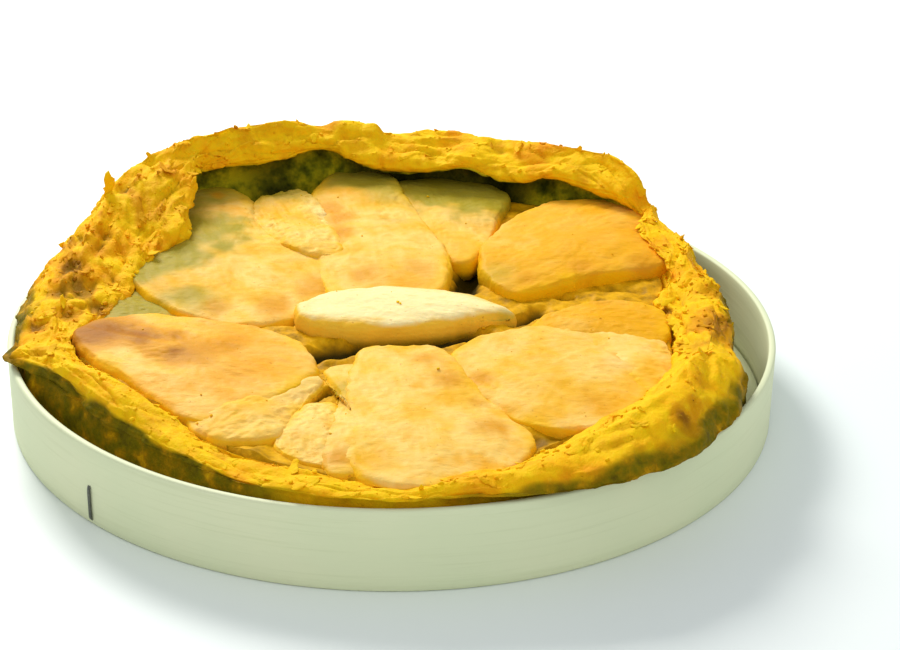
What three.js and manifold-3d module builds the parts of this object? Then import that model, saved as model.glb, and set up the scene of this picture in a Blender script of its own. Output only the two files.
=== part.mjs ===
// A rustic tarte tatin in the thin-walled round wooden dish that it was baked in.
// Millimetres, +Z up. The origin is the centre of the dish's underside, and -Y is the front.
// Heights of pastry and fruit are measured from the dish's rim, so 0 is level with its top edge.

import * as THREE from 'three';
import { mergeVertices } from 'three/addons/utils/BufferGeometryUtils.js';
import Module from 'manifold-3d';

// ---- driving dimensions ----
const DISH_RADIUS = 130;
const DISH_HEIGHT = 27;
const WALL_THICKNESS = 2.4;
const RIM_ROUNDING = 0.7;
const BASE_THICKNESS = 3;
const GAP = 0.3;
const DISH_SEGMENTS = 60;

const STAPLE_ANGLE = 225;
const STAPLE_LENGTH = 12;
const STAPLE_WIDTH = 1.3;
const STAPLE_DEPTH = 0.7;
const STAPLE_FOOT = 1.4;
const STAPLE_FLAT = 0.7;
const STAPLE_BULGE = 1.2;

const PASTRY_SEGMENTS = 72;
const PASTRY_SIDE = DISH_RADIUS - WALL_THICKNESS - 0.8;
const PASTRY_FLOOR = BASE_THICKNESS + GAP - DISH_HEIGHT;
const FLOOR_CORNER = [[7, 0], [1.5, 4], [0, 12]];
const OVERHANG_LIFT = 0.8;
const OVERHANG_LIP = 1.4;
const OUTER_FACE = [[0.2, 0.6], [0.6, 0.92]];
const FOLD_TOP = [[0.5, 0.4], [0.85, 0.78]];
const FLAP_THICKNESS = 4.5;
const LIP_ROUNDING = 0.35;
const HOLLOW_DEPTH = 7;
const HOLLOW_FOOT = 0.45;
const BED_FLOOR = -11;
const BED_TOP = -1.5;
const BED_CROWN = 1.26;
const BED_SEGMENTS = PASTRY_SEGMENTS / 2;
const BED_CLEARANCE = 3.5;
const BED_RINGS = [[0.96, 0], [1, 0.2], [1, 0.85], [0.98, 1], [0.72, 1.16], [0.4, 1.24]];
const RUFFLE_WIDTH = 0.9;
const RUFFLE_HEIGHT = 0.7;
const RUFFLES = [[0.5, 11, 0.7], [0.3, 19, 2.1], [0.2, 29, 0]];

const SLICE_STEPS = 16;
const SLICE_SPREAD = 1.6;
const SLICE_SIDE = [[0.88, 1], [1, 0.5], [0.98, 0.16]];
const SLICE_TOP = [0.86, 0.5];
const TRIM_GAP = 0.35;

// ---- the folded pastry edge, all the way round ----
// at: angle in degrees, counterclockwise from +X. outer: radius just above the rim.
// crest and lip: [radius, height] of the top of the fold and of its inner edge.
// hollow: how far the fold's underside is cut back beneath the lip.
const EDGE = [
  { at: 0, outer: 116, crest: [107, 11], lip: [90, 8], hollow: 0 },
  { at: 12, outer: 115, crest: [109, 12], lip: [97, 10.5], hollow: 0 },
  { at: 22, outer: 117, crest: [111, 14], lip: [99, 12.5], hollow: 0 },
  { at: 32, outer: 121, crest: [115, 14.5], lip: [104, 12.5], hollow: 0 },
  { at: 37, outer: 125, crest: [120, 17], lip: [113, 13], hollow: 2 },
  { at: 42, outer: 126, crest: [121, 24], lip: [112, 17], hollow: 4 },
  { at: 50, outer: 127, crest: [121, 27], lip: [109, 18.5], hollow: 7 },
  { at: 62, outer: 127, crest: [120, 26], lip: [102, 17], hollow: 12 },
  { at: 68, outer: 127, crest: [120, 26], lip: [100, 17.5], hollow: 13 },
  { at: 75, outer: 127, crest: [119, 25], lip: [100, 20], hollow: 12 },
  { at: 83, outer: 127, crest: [119, 25], lip: [99, 19], hollow: 12 },
  { at: 91, outer: 127, crest: [119, 26], lip: [100, 19], hollow: 11 },
  { at: 95, outer: 127, crest: [118, 29], lip: [100, 20], hollow: 9 },
  { at: 101, outer: 127, crest: [118, 29], lip: [104, 22], hollow: 8 },
  { at: 106, outer: 127, crest: [119, 29], lip: [110, 24], hollow: 7 },
  { at: 113, outer: 127, crest: [119, 31], lip: [107, 22.5], hollow: 8 },
  { at: 121, outer: 127, crest: [120, 32], lip: [109, 22.5], hollow: 7 },
  { at: 129, outer: 127, crest: [120, 32], lip: [112, 23], hollow: 6 },
  { at: 134, outer: 127, crest: [119, 32], lip: [106, 25], hollow: 9 },
  { at: 141, outer: 127, crest: [119, 30], lip: [96, 19], hollow: 8 },
  { at: 150, outer: 127, crest: [119, 25], lip: [86, 14], hollow: 4 },
  { at: 160, outer: 126, crest: [117, 19], lip: [88, 11], hollow: 3 },
  { at: 170, outer: 126, crest: [116, 15], lip: [89, 8], hollow: 0 },
  { at: 181, outer: 127, crest: [117, 11], lip: [90, 5], hollow: 0 },
  { at: 190, outer: 129, crest: [117, 8], lip: [101, 5], hollow: 0 },
  { at: 197, outer: 133, crest: [119, 8], lip: [108, 6], hollow: 0 },
  { at: 205, outer: 124, crest: [117, 10], lip: [107, 6], hollow: 0 },
  { at: 216, outer: 120, crest: [115, 11], lip: [104, 6], hollow: 0 },
  { at: 228, outer: 120, crest: [115, 9], lip: [103, 5], hollow: 0 },
  { at: 240, outer: 123, crest: [118, 6], lip: [107, 4], hollow: 0 },
  { at: 252, outer: 127, crest: [121, 5], lip: [112, 4], hollow: 0 },
  { at: 270, outer: 129, crest: [123, 5], lip: [116, 3], hollow: 0 },
  { at: 281, outer: 130, crest: [124, 6], lip: [117, 4], hollow: 0 },
  { at: 291, outer: 134, crest: [122, 9], lip: [112, 5], hollow: 0 },
  { at: 301, outer: 137, crest: [120, 12], lip: [105, 5], hollow: 0 },
  { at: 311, outer: 136, crest: [118, 14], lip: [103, 5], hollow: 0 },
  { at: 321, outer: 133, crest: [116, 16], lip: [103, 6], hollow: 0 },
  { at: 331, outer: 128, crest: [114, 16], lip: [102, 8], hollow: 0 },
  { at: 341, outer: 120, crest: [111, 15], lip: [97, 8], hollow: 0 },
  { at: 351, outer: 116, crest: [109, 13], lip: [92, 8], hollow: 0 },
];

// ---- the apple slices on top, from the uppermost down ----
// outline: corners of the slice in plan. top: height of its middle.
// rise: slope of its top along X and along Y. crown: how much its middle bulges.
const SLICES = [
  { name: 'centre_wedge', thick: 10, top: 9, rise: [-0.02, 0.05], crown: 3,
    outline: [[-32, -10], [-20, 2], [2, 5], [24, 1.5], [40, -12], [28, -15.5], [14, -21], [-4, -25],
      [-20, -24], [-30, -18]] },
  { name: 'centre_arch', thick: 9, top: 9, rise: [0.03, 0.04], crown: 2,
    outline: [[-31, 88], [-22, 112], [-6, 113], [9, 68], [17, 44], [18.5, 26], [14, 6], [-18, 0],
      [-29, 48]] },
  { name: 'right_back', thick: 10, top: 9, rise: [0, 0.02], crown: 2.5,
    outline: [[32, 26], [38, 56], [60, 84], [88, 82], [101, 49], [98, 31], [66, 18], [42, 6]] },
  { name: 'right_front', thick: 9, top: 6, rise: [0, 0.03], crown: 2,
    outline: [[18, -44], [31, -27], [62, -24], [80, -54], [77, -72], [60, -86], [40, -84], [25, -61]] },
  { name: 'front_centre', thick: 9, top: 5, rise: [0, 0.04], crown: 2,
    outline: [[-10, -38], [4, -36], [16, -40], [32, -78], [41, -98], [28, -116], [2, -120], [-12, -110],
      [-14, -75]] },
  { name: 'left_front', thick: 9, top: 6, rise: [-0.02, 0.02], crown: 2,
    outline: [[-104, -28], [-90, -15], [-52, -18], [-36, -26], [-28, -38], [-26, -52], [-38, -69],
      [-58, -83], [-82, -60]] },
  { name: 'left_back', thick: 9, top: 8, rise: [-0.03, 0.04], crown: 2,
    outline: [[-94, 28], [-84, 74], [-72, 94], [-56, 88], [-48, 58], [-24, 34], [-18, 8], [-44, -15],
      [-74, -6]] },
  { name: 'back_wedge', thick: 8, top: 8, rise: [0, 0.03], crown: 1.5,
    outline: [[-2, 100], [18, 110], [42, 98], [38, 72], [26, 34], [12, 50]] },
  { name: 'back_chunk', thick: 7, top: 9, rise: [0, 0.02], crown: 2,
    outline: [[-52, 70], [-50, 88], [-36, 92], [-26, 70], [-20, 36], [-38, 42]] },
  { name: 'right_strip', thick: 7, top: 7, rise: [0, 0.05], crown: 1.5,
    outline: [[44, -25], [54, -12], [76, -2], [90, -8], [88, -28], [66, -27]] },
  { name: 'right_end', thick: 7, top: 6, rise: [0, 0.02], crown: 1.5,
    outline: [[60, -20], [86, -26], [90, -44], [82, -64], [70, -50]] },
  { name: 'front_sliver', thick: 7, top: 4, rise: [0, 0.02], crown: 1.5,
    outline: [[-21, -49], [-12, -44], [-6, -70], [-8, -108], [-18, -112], [-21, -86], [-16, -66]] },
  { name: 'front_flake', thick: 6, top: 4, rise: [0, 0.02], crown: 1.5,
    outline: [[-62, -80], [-38, -66], [-24, -56], [-30, -76], [-36, -92], [-52, -93]] },
  { name: 'front_chunk', thick: 6, top: 3.5, rise: [0, 0.02], crown: 2,
    outline: [[-32, -79], [-20, -70], [-14, -92], [-18, -106], [-34, -98]] },
  { name: 'left_strip', thick: 6, top: 4, rise: [0, 0.02], crown: 1,
    outline: [[-102, 6], [-84, 16], [-60, 2], [-54, -12], [-84, -18], [-98, -8]] },
];

// ---- materials ----
const finish = (color, roughness, metalness = 0) =>
  new THREE.MeshStandardMaterial({ color, roughness, metalness });
const VENEER = finish('#d9d6ae', 0.7);
const STAPLE_STEEL = finish('#77776f', 0.4, 1);
const BAKED_PASTRY = finish('#e5b02e', 0.65);
const APPLE = finish('#f6cd76', 0.45);
const JUICY_FILLING = finish('#a98a2a', 0.35);

const wasm = await Module();
wasm.setup();

const radians = THREE.MathUtils.degToRad;
const lerp = THREE.MathUtils.lerp;
const heightOnDish = (heightOverRim) => DISH_HEIGHT + heightOverRim;

/** Makes a closed solid from a merged, indexed copy of a geometry. */
function solidOf(geometry) {
  const bare = geometry.clone();
  bare.deleteAttribute('normal');
  bare.deleteAttribute('uv');
  const merged = mergeVertices(bare, 1e-4);
  return new wasm.Manifold(new wasm.Mesh({
    numProp: 3,
    vertProperties: new Float32Array(merged.attributes.position.array),
    triVerts: new Uint32Array(merged.index.array),
  }));
}

/** Turns the largest body of a solid back into a geometry. */
function geometryOf(solid) {
  const bodies = solid.decompose();
  bodies.sort((a, b) => b.volume() - a.volume());
  const mesh = bodies[0].getMesh();
  const geometry = new THREE.BufferGeometry();
  geometry.setAttribute('position', new THREE.BufferAttribute(new Float32Array(mesh.vertProperties), 3));
  geometry.setIndex(new THREE.BufferAttribute(new Uint32Array(mesh.triVerts), 1));
  geometry.computeVertexNormals();
  return geometry;
}

/** Closes a stack of equal rings of points with one point below and one above. */
function closedStack(bottom, rings, top) {
  const steps = rings[0].length;
  const positions = [...bottom, ...rings.flat(2), ...top];
  const last = 1 + rings.length * steps;
  const index = [];
  for (let k = 0; k < steps; k += 1) {
    const next = (k + 1) % steps;
    index.push(0, 1 + next, 1 + k);
    for (let ring = 0; ring < rings.length - 1; ring += 1) {
      const low = 1 + ring * steps;
      const high = low + steps;
      index.push(low + k, low + next, high + next);
      index.push(low + k, high + next, high + k);
    }
    const rim = last - steps;
    index.push(rim + k, rim + next, last);
  }
  const geometry = new THREE.BufferGeometry();
  geometry.setAttribute('position', new THREE.Float32BufferAttribute(positions, 3));
  geometry.setIndex(index);
  geometry.computeVertexNormals();
  return geometry;
}

/** Reads the pastry edge at any angle, eased between its two nearest stations. */
function edgeAt(degrees) {
  const after = EDGE.findIndex((station) => station.at > degrees);
  const to = after < 0 ? EDGE[0] : EDGE[after];
  const from = after < 0 ? EDGE[EDGE.length - 1] : EDGE[after - 1];
  const span = (to.at - from.at + 360) % 360;
  const t = THREE.MathUtils.smoothstep((degrees - from.at) / span, 0, 1);
  const mix = (read) => lerp(read(from), read(to), t);
  return {
    outer: mix((s) => s.outer),
    crest: [mix((s) => s.crest[0]), mix((s) => s.crest[1])],
    lip: [mix((s) => s.lip[0]), mix((s) => s.lip[1])],
    hollow: mix((s) => s.hollow),
  };
}

/** Gives the small waves of hand-folded pastry at an angle. */
function ruffle(degrees) {
  const angle = radians(degrees);
  return RUFFLES.reduce((sum, [share, waves, turn]) => sum + share * Math.sin(waves * angle + turn), 0);
}

/** Lists the [radius, height] points of the pastry's section, from its floor to its bed. */
function pastrySection(degrees) {
  const { outer, crest, lip, hollow } = edgeAt(degrees);
  const wave = ruffle(degrees);
  const side = Math.min(outer, PASTRY_SIDE);
  const shoulder = [Math.max(outer, side + 0.2), OVERHANG_LIFT + OVERHANG_LIP];
  const top = [crest[0] + RUFFLE_WIDTH * wave, crest[1] + RUFFLE_HEIGHT * wave];
  const between = (from, to) => ([inwards, upwards]) =>
    [lerp(from[0], to[0], inwards), lerp(from[1], to[1], upwards)];
  const under = lip[1] - FLAP_THICKNESS;
  const foot = lip[0] + HOLLOW_FOOT * hollow;
  return [
    ...FLOOR_CORNER.map(([inset, rise]) => [side - inset, PASTRY_FLOOR + rise]),
    [side, OVERHANG_LIFT],
    shoulder,
    ...OUTER_FACE.map(between(shoulder, top)),
    top,
    ...FOLD_TOP.map(between(top, lip)),
    [lip[0], lip[1] - LIP_ROUNDING * FLAP_THICKNESS],
    [lip[0] + 1, under],
    [lip[0] + hollow, under - 0.3 * HOLLOW_DEPTH],
    [foot, Math.min(under - HOLLOW_DEPTH, BED_TOP - 2)],
    [foot - 1, BED_FLOOR],
  ];
}

/** Moves a section's points outwards by an even distance. */
function thicken(section, distance) {
  return section.map(([radius, height], i) => {
    const before = section[Math.max(i - 1, 0)];
    const after = section[Math.min(i + 1, section.length - 1)];
    const along = new THREE.Vector2(after[0] - before[0], after[1] - before[1]).normalize();
    return [radius + distance * along.y, height - distance * along.x];
  });
}

/** Sweeps the changing pastry section round the dish's axis. */
function pastryGeometry(extra) {
  const sections = [];
  for (let k = 0; k < PASTRY_SEGMENTS; k += 1) {
    sections.push(thicken(pastrySection((360 * k) / PASTRY_SEGMENTS), extra));
  }
  const rings = sections[0].map((_, i) => sections.map((section, k) => {
    const angle = radians((360 * k) / PASTRY_SEGMENTS);
    const [radius, height] = section[i];
    return [radius * Math.cos(angle), radius * Math.sin(angle), heightOnDish(height)];
  }));
  const floor = [0, 0, heightOnDish(PASTRY_FLOOR - extra)];
  const bed = [0, 0, heightOnDish(BED_FLOOR + extra)];
  return closedStack(floor, rings, bed);
}

/** Makes the soft apple bed that fills the pastry up to the slices. */
function fillingGeometry() {
  const low = BED_FLOOR + GAP;
  const rings = BED_RINGS.map(([scale, fullness]) => Array.from({ length: BED_SEGMENTS }, (_, k) => {
    const degrees = (360 * k) / BED_SEGMENTS;
    const { lip, hollow } = edgeAt(degrees);
    const radius = scale * (lip[0] + HOLLOW_FOOT * hollow - BED_CLEARANCE);
    const angle = radians(degrees);
    return [radius * Math.cos(angle), radius * Math.sin(angle), heightOnDish(lerp(low, BED_TOP, fullness))];
  }));
  const crown = heightOnDish(lerp(low, BED_TOP, BED_CROWN));
  return closedStack([0, 0, heightOnDish(low)], rings, [0, 0, crown]);
}

/** Makes one domed slice of apple with rounded edges, grown all round by a small distance. */
function sliceGeometry({ outline, thick, top, rise, crown }, grow) {
  const corners = outline.map(([x, y]) => new THREE.Vector3(x, y, 0));
  const curve = new THREE.CatmullRomCurve3(corners, true, 'centripetal');
  const edge = curve.getSpacedPoints(SLICE_STEPS).slice(0, SLICE_STEPS);
  const anticlockwise = THREE.ShapeUtils.area(edge) > 0;
  if (!anticlockwise) edge.reverse();
  const middle = edge.reduce((sum, p) => sum.add(p), new THREE.Vector3()).divideScalar(SLICE_STEPS);
  const grown = edge.map((p, k) => {
    const before = edge[(k + SLICE_STEPS - 1) % SLICE_STEPS];
    const after = edge[(k + 1) % SLICE_STEPS];
    const along = after.clone().sub(before).normalize();
    const out = SLICE_SPREAD + grow;
    return new THREE.Vector3(p.x + out * along.y, p.y - out * along.x, 0);
  });
  const level = (p) => top + rise[0] * (p.x - middle.x) + rise[1] * (p.y - middle.y);
  const ring = (scale, lift) => grown.map((p) => {
    const q = middle.clone().lerp(p, scale);
    return [q.x, q.y, heightOnDish(level(q) + lift)];
  });
  const dome = (scale) => crown * (1 - scale ** 2) + grow;
  const side = SLICE_SIDE.map(([scale, drop], i) => ring(scale, -drop * thick - (i === 0 ? grow : 0)));
  const rings = [...side, ...SLICE_TOP.map((scale) => ring(scale, dome(scale)))];
  const centre = (lift) => [middle.x, middle.y, heightOnDish(level(middle) + lift)];
  return closedStack(centre(-thick - grow), rings, centre(dome(0)));
}

/** Makes the upright ring of the dish, square at its foot and eased at its rim. */
function dishWallGeometry() {
  const inner = DISH_RADIUS - WALL_THICKNESS;
  const profile = [
    [inner, 0],
    [DISH_RADIUS, 0],
    [DISH_RADIUS, DISH_HEIGHT - RIM_ROUNDING],
    [DISH_RADIUS - RIM_ROUNDING, DISH_HEIGHT],
    [inner + RIM_ROUNDING, DISH_HEIGHT],
    [inner, DISH_HEIGHT - RIM_ROUNDING],
    [inner, 0],
  ].map(([radius, height]) => new THREE.Vector2(radius, height));
  return new THREE.LatheGeometry(profile, DISH_SEGMENTS).rotateX(Math.PI / 2);
}

/** Makes the flat disc that closes the dish inside the ring. */
function dishBaseGeometry() {
  const radius = (DISH_RADIUS - WALL_THICKNESS) * Math.cos(Math.PI / DISH_SEGMENTS) - GAP;
  const disc = new THREE.CylinderGeometry(radius, radius, BASE_THICKNESS, DISH_SEGMENTS);
  return disc.rotateX(Math.PI / 2).translate(0, 0, BASE_THICKNESS / 2);
}

/** Makes the staple that clamps the ring's lapped ends, standing against its outside. */
function stapleGeometry() {
  const half = STAPLE_WIDTH / 2;
  const section = new THREE.Shape();
  section.moveTo(0, -half);
  section.lineTo(STAPLE_FLAT * STAPLE_DEPTH, -half);
  section.quadraticCurveTo(STAPLE_BULGE * STAPLE_DEPTH, 0, STAPLE_FLAT * STAPLE_DEPTH, half);
  section.lineTo(0, half);
  section.closePath();
  return new THREE.ExtrudeGeometry(section, { depth: STAPLE_LENGTH, bevelEnabled: false, curveSegments: 4 });
}

/** Cuts the pieces that lie over a slice, and the pastry's fold, out of it. */
function trimmedSlice(order, fold) {
  let slice = solidOf(sliceGeometry(SLICES[order], 0)).subtract(fold);
  for (const upper of SLICES.slice(0, order)) {
    slice = slice.subtract(solidOf(sliceGeometry(upper, TRIM_GAP)));
  }
  return geometryOf(slice);
}

/** Presses every slice's shape into the apple bed. */
function pressedFilling() {
  let bed = solidOf(fillingGeometry());
  for (const slice of SLICES) {
    bed = bed.subtract(solidOf(sliceGeometry(slice, TRIM_GAP)));
  }
  return geometryOf(bed);
}

function named(name, geometry, material) {
  const mesh = new THREE.Mesh(geometry, material);
  mesh.name = name;
  return mesh;
}

function makeDish() {
  const dish = new THREE.Group();
  const staple = named('staple', stapleGeometry(), STAPLE_STEEL);
  const mark = new THREE.Group();
  staple.position.set(DISH_RADIUS + GAP, 0, STAPLE_FOOT);
  mark.rotation.z = radians(STAPLE_ANGLE);
  mark.add(staple);
  dish.add(named('dish_wall', dishWallGeometry(), VENEER));
  dish.add(named('dish_base', dishBaseGeometry(), VENEER));
  dish.add(mark);
  return dish;
}

function makeTart() {
  const tart = new THREE.Group();
  const fold = solidOf(pastryGeometry(TRIM_GAP));
  tart.add(named('pastry', pastryGeometry(0), BAKED_PASTRY));
  tart.add(named('filling', pressedFilling(), JUICY_FILLING));
  SLICES.forEach((slice, order) => {
    tart.add(named(`apple_${slice.name}`, trimmedSlice(order, fold), APPLE));
  });
  return tart;
}

const tarteTatin = new THREE.Group();
tarteTatin.add(makeDish());
tarteTatin.add(makeTart());

export default tarteTatin;
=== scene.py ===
"""A tarte tatin in the round wooden dish it was baked in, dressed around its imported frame.

Lengths inside the classes are millimetres in the frame's own axes: +Z up, -Y the front, and the
origin at the centre of the dish's underside. They become metres where a mesh is made.
"""

import logging
import math
from dataclasses import dataclass, field
from enum import Enum

import bpy
import numpy as np
from mathutils import Matrix, Vector

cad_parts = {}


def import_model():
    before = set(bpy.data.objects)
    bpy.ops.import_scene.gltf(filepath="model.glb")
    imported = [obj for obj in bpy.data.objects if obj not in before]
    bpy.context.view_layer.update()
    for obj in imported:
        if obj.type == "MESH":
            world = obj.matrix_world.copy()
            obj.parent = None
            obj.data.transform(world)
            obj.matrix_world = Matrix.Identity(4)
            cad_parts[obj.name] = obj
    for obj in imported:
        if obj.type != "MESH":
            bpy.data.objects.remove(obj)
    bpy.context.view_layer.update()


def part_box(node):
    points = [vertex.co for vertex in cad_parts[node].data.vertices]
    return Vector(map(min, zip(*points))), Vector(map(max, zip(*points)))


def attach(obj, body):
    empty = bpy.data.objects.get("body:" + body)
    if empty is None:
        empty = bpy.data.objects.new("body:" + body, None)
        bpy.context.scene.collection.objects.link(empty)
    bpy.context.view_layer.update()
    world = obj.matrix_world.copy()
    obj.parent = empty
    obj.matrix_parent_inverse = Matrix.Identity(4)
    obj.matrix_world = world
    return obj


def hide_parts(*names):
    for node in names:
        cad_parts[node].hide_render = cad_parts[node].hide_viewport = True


LOG = logging.getLogger("tarte_tatin")
MM = 0.001
TURN = 2.0 * math.pi
BODY = "root"
# How far the pastry stays off the dish's wall, and how far a slice spreads past its outline.
WALL_GAP = 0.8
SLICE_SPREAD = 1.6


# ---------------------------------------------------------------- arrays and noise


def smooth(values: np.ndarray) -> np.ndarray:
    """Eases values from 0 to 1, holding them at the ends."""
    held = np.clip(values, 0.0, 1.0)
    return held * held * (3.0 - 2.0 * held)


def bump_at(distance: np.ndarray, reach: float) -> np.ndarray:
    """A round bump: 1 at distance 0 and 0 from reach outwards."""
    return smooth(1.0 - distance / reach)


def unit(vectors: np.ndarray) -> np.ndarray:
    """Scales vectors, along the last axis, to a length of 1."""
    return vectors / np.maximum(np.linalg.norm(vectors, axis=-1, keepdims=True), 1e-9)


def degrees_round(columns: int) -> np.ndarray:
    """Even steps round a full turn, in degrees from 0."""
    return np.arange(columns) / columns * 360.0


def with_height(plan: np.ndarray, height: np.ndarray | float = 0.0) -> np.ndarray:
    """Adds heights to places in plan."""
    heights = np.broadcast_to(height, plan.shape[:-1])
    return np.concatenate([plan, heights[..., None]], axis=-1)


def hermite(t: np.ndarray, start: np.ndarray, leave: np.ndarray, end: np.ndarray,
            arrive: np.ndarray) -> np.ndarray:
    """Runs a cubic over t from 0 to 1.

    Args:
        t: where to read it.
        start: its first value.
        leave: its slope there.
        end: its last value.
        arrive: its slope there.

    Returns:
        Its value at each t.
    """
    return (
        (2 * t**3 - 3 * t**2 + 1) * start
        + (t**3 - 2 * t**2 + t) * leave
        + (3 * t**2 - 2 * t**3) * end
        + (t**3 - t**2) * arrive
    )


def hashed(cells: list[np.ndarray], seed: int) -> np.ndarray:
    """Gives each whole-numbered cell its own value from 0 to 1, the same on every run.

    Args:
        cells: one array of cell numbers for each direction.
        seed: picks another set of values.

    Returns:
        One value for each cell.
    """
    mask = 0xFFFFFFFF
    primes = (374761393, 668265263, 1440662683)
    mixed = np.full(cells[0].shape, 974711 + 69069 * seed, np.int64)
    for cell, prime in zip(cells, primes):
        mixed = (mixed + cell.astype(np.int64) * prime) & mask
        mixed = ((mixed ^ (mixed >> 15)) * 2246822519) & mask
    mixed = ((mixed ^ (mixed >> 13)) * 3266489917) & mask
    return ((mixed ^ (mixed >> 16)) & mask) / (mask + 1.0)


def cloud(points: np.ndarray, scale: float, seed: int) -> np.ndarray:
    """Soft noise over points in space.

    Args:
        points: an array whose last axis holds x, y and z in millimetres.
        scale: the size of one swell, in millimetres.
        seed: picks another pattern.

    Returns:
        Values from -1 to 1.
    """
    scaled = points / scale
    corner = np.floor(scaled)
    inside = scaled - corner
    ease = inside**3 * (inside * (inside * 6.0 - 15.0) + 10.0)
    total = np.zeros(points.shape[:-1])
    for step in np.ndindex(2, 2, 2):
        share = np.ones(points.shape[:-1])
        for axis, side in enumerate(step):
            share = share * (ease[..., axis] if side else 1.0 - ease[..., axis])
        cells = [corner[..., axis] + step[axis] for axis in range(3)]
        total += share * hashed(cells, seed)
    return 2.0 * total - 1.0


def layered_cloud(points: np.ndarray, scale: float, seed: int, layers: int = 4) -> np.ndarray:
    """Adds finer and finer clouds, each half the size and strength of the last."""
    total = sum(cloud(points, scale / 2**k, seed + k) / 2**k for k in range(layers))
    return total / (2.0 - 0.5 ** (layers - 1))


@dataclass(frozen=True)
class Shards:
    """Cells of broken crust: each cell's own value, and how its tilt lifts each point."""

    value: np.ndarray
    tilt: np.ndarray


def shards(across: np.ndarray, along: np.ndarray, round_trip: int, seed: int) -> Shards:
    """Breaks a surface that closes on itself into uneven cells.

    Args:
        across: position round the closed way, one unit for each cell.
        along: position the other way, one unit for each cell.
        round_trip: the number of cells round the closed way, or 0 where it stays open.
        seed: picks another pattern.

    Returns:
        The cell that each point lies in.
    """
    base_a, base_b = np.floor(across), np.floor(along)
    far_off = 9.0
    near = np.full(across.shape, far_off)
    value, tilt = np.zeros(across.shape), np.zeros(across.shape)
    for step_a, step_b in np.ndindex(3, 3):
        cell_a, cell_b = base_a + step_a - 1, base_b + step_b - 1
        wrapped = np.mod(cell_a, round_trip) if round_trip else cell_a
        shift_a, shift_b, height, lean = (hashed([wrapped, cell_b], seed + k) for k in range(4))
        off_a = across - cell_a - 0.1 - 0.8 * shift_a
        off_b = along - cell_b - 0.1 - 0.8 * shift_b
        distance = np.hypot(off_a, off_b)
        nearer = distance < near
        near = np.where(nearer, distance, near)
        value = np.where(nearer, height, value)
        slope = off_a * np.cos(TURN * lean) + off_b * np.sin(TURN * lean)
        tilt = np.where(nearer, slope, tilt)
    return Shards(value=value, tilt=tilt)


def ring_spline(at: np.ndarray, values: np.ndarray, where: np.ndarray) -> np.ndarray:
    """Reads a closed row of stations with a curve that never overshoots them.

    Args:
        at: the stations' angles in degrees, rising from 0.
        values: one value for each station.
        where: the angles to read, in degrees.

    Returns:
        The value at each angle.
    """
    knots = np.concatenate([[at[-1] - 360.0], at, [at[0] + 360.0, at[1] + 360.0]])
    heights = np.concatenate([[values[-1]], values, [values[0], values[1]]])
    gaps = np.diff(knots)
    slopes = np.diff(heights) / gaps
    same_way = slopes[:-1] * slopes[1:] > 0
    mean = np.where(same_way, 2 * slopes[:-1] * slopes[1:] / (slopes[:-1] + slopes[1:] + 1e-12), 0.0)
    grade = np.concatenate([[mean[-1]], mean, [mean[1]]])
    spot = np.clip(np.searchsorted(knots, where, side="right") - 1, 0, len(gaps) - 1)
    t = (where - knots[spot]) / gaps[spot]
    leave, arrive = grade[spot] * gaps[spot], grade[spot + 1] * gaps[spot]
    return hermite(t, heights[spot], leave, heights[spot + 1], arrive)


def row_spline(points: np.ndarray, steps: list[int]) -> np.ndarray:
    """Runs a smooth curve through rows of points.

    Args:
        points: an array of rows, points and coordinates.
        steps: how many samples each stretch between two points gets.

    Returns:
        The samples, with the last point at their end.
    """
    padded = np.concatenate([points[:, :1], points, points[:, -1:]], axis=1)
    parts = []
    for k, count in enumerate(steps):
        before, start, end, after = (padded[:, k + j, None, :] for j in range(4))
        t = (np.arange(count) / count)[None, :, None]
        span = np.linalg.norm(end - start, axis=-1, keepdims=True)
        reach_in = np.maximum(np.linalg.norm(start - before, axis=-1, keepdims=True), 1e-6)
        reach_out = np.maximum(np.linalg.norm(after - end, axis=-1, keepdims=True), 1e-6)
        leave = (end - before) * span / (span + reach_in)
        arrive = (after - start) * span / (span + reach_out)
        parts.append(hermite(t, start, leave, end, arrive))
    parts.append(points[:, -1:])
    return np.concatenate(parts, axis=1)


# ---------------------------------------------------------------- meshes


def grid_faces(rows: int, columns: int, close_rows: bool) -> np.ndarray:
    """Faces of a grid whose columns close on themselves, and whose rows may too.

    Args:
        rows: how many rows of points it has.
        columns: how many points each row has.
        close_rows: whether the last row joins the first.

    Returns:
        The four-sided faces, as vertex numbers.
    """
    last = rows if close_rows else rows - 1
    row = np.arange(last)[:, None]
    column = np.arange(columns)[None, :]
    next_row, next_column = (row + 1) % rows, (column + 1) % columns
    corners = (row * columns + column, row * columns + next_column)
    far = (next_row * columns + next_column, next_row * columns + column)
    return np.stack([*corners, *far], axis=-1).reshape(-1, 4)


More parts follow.
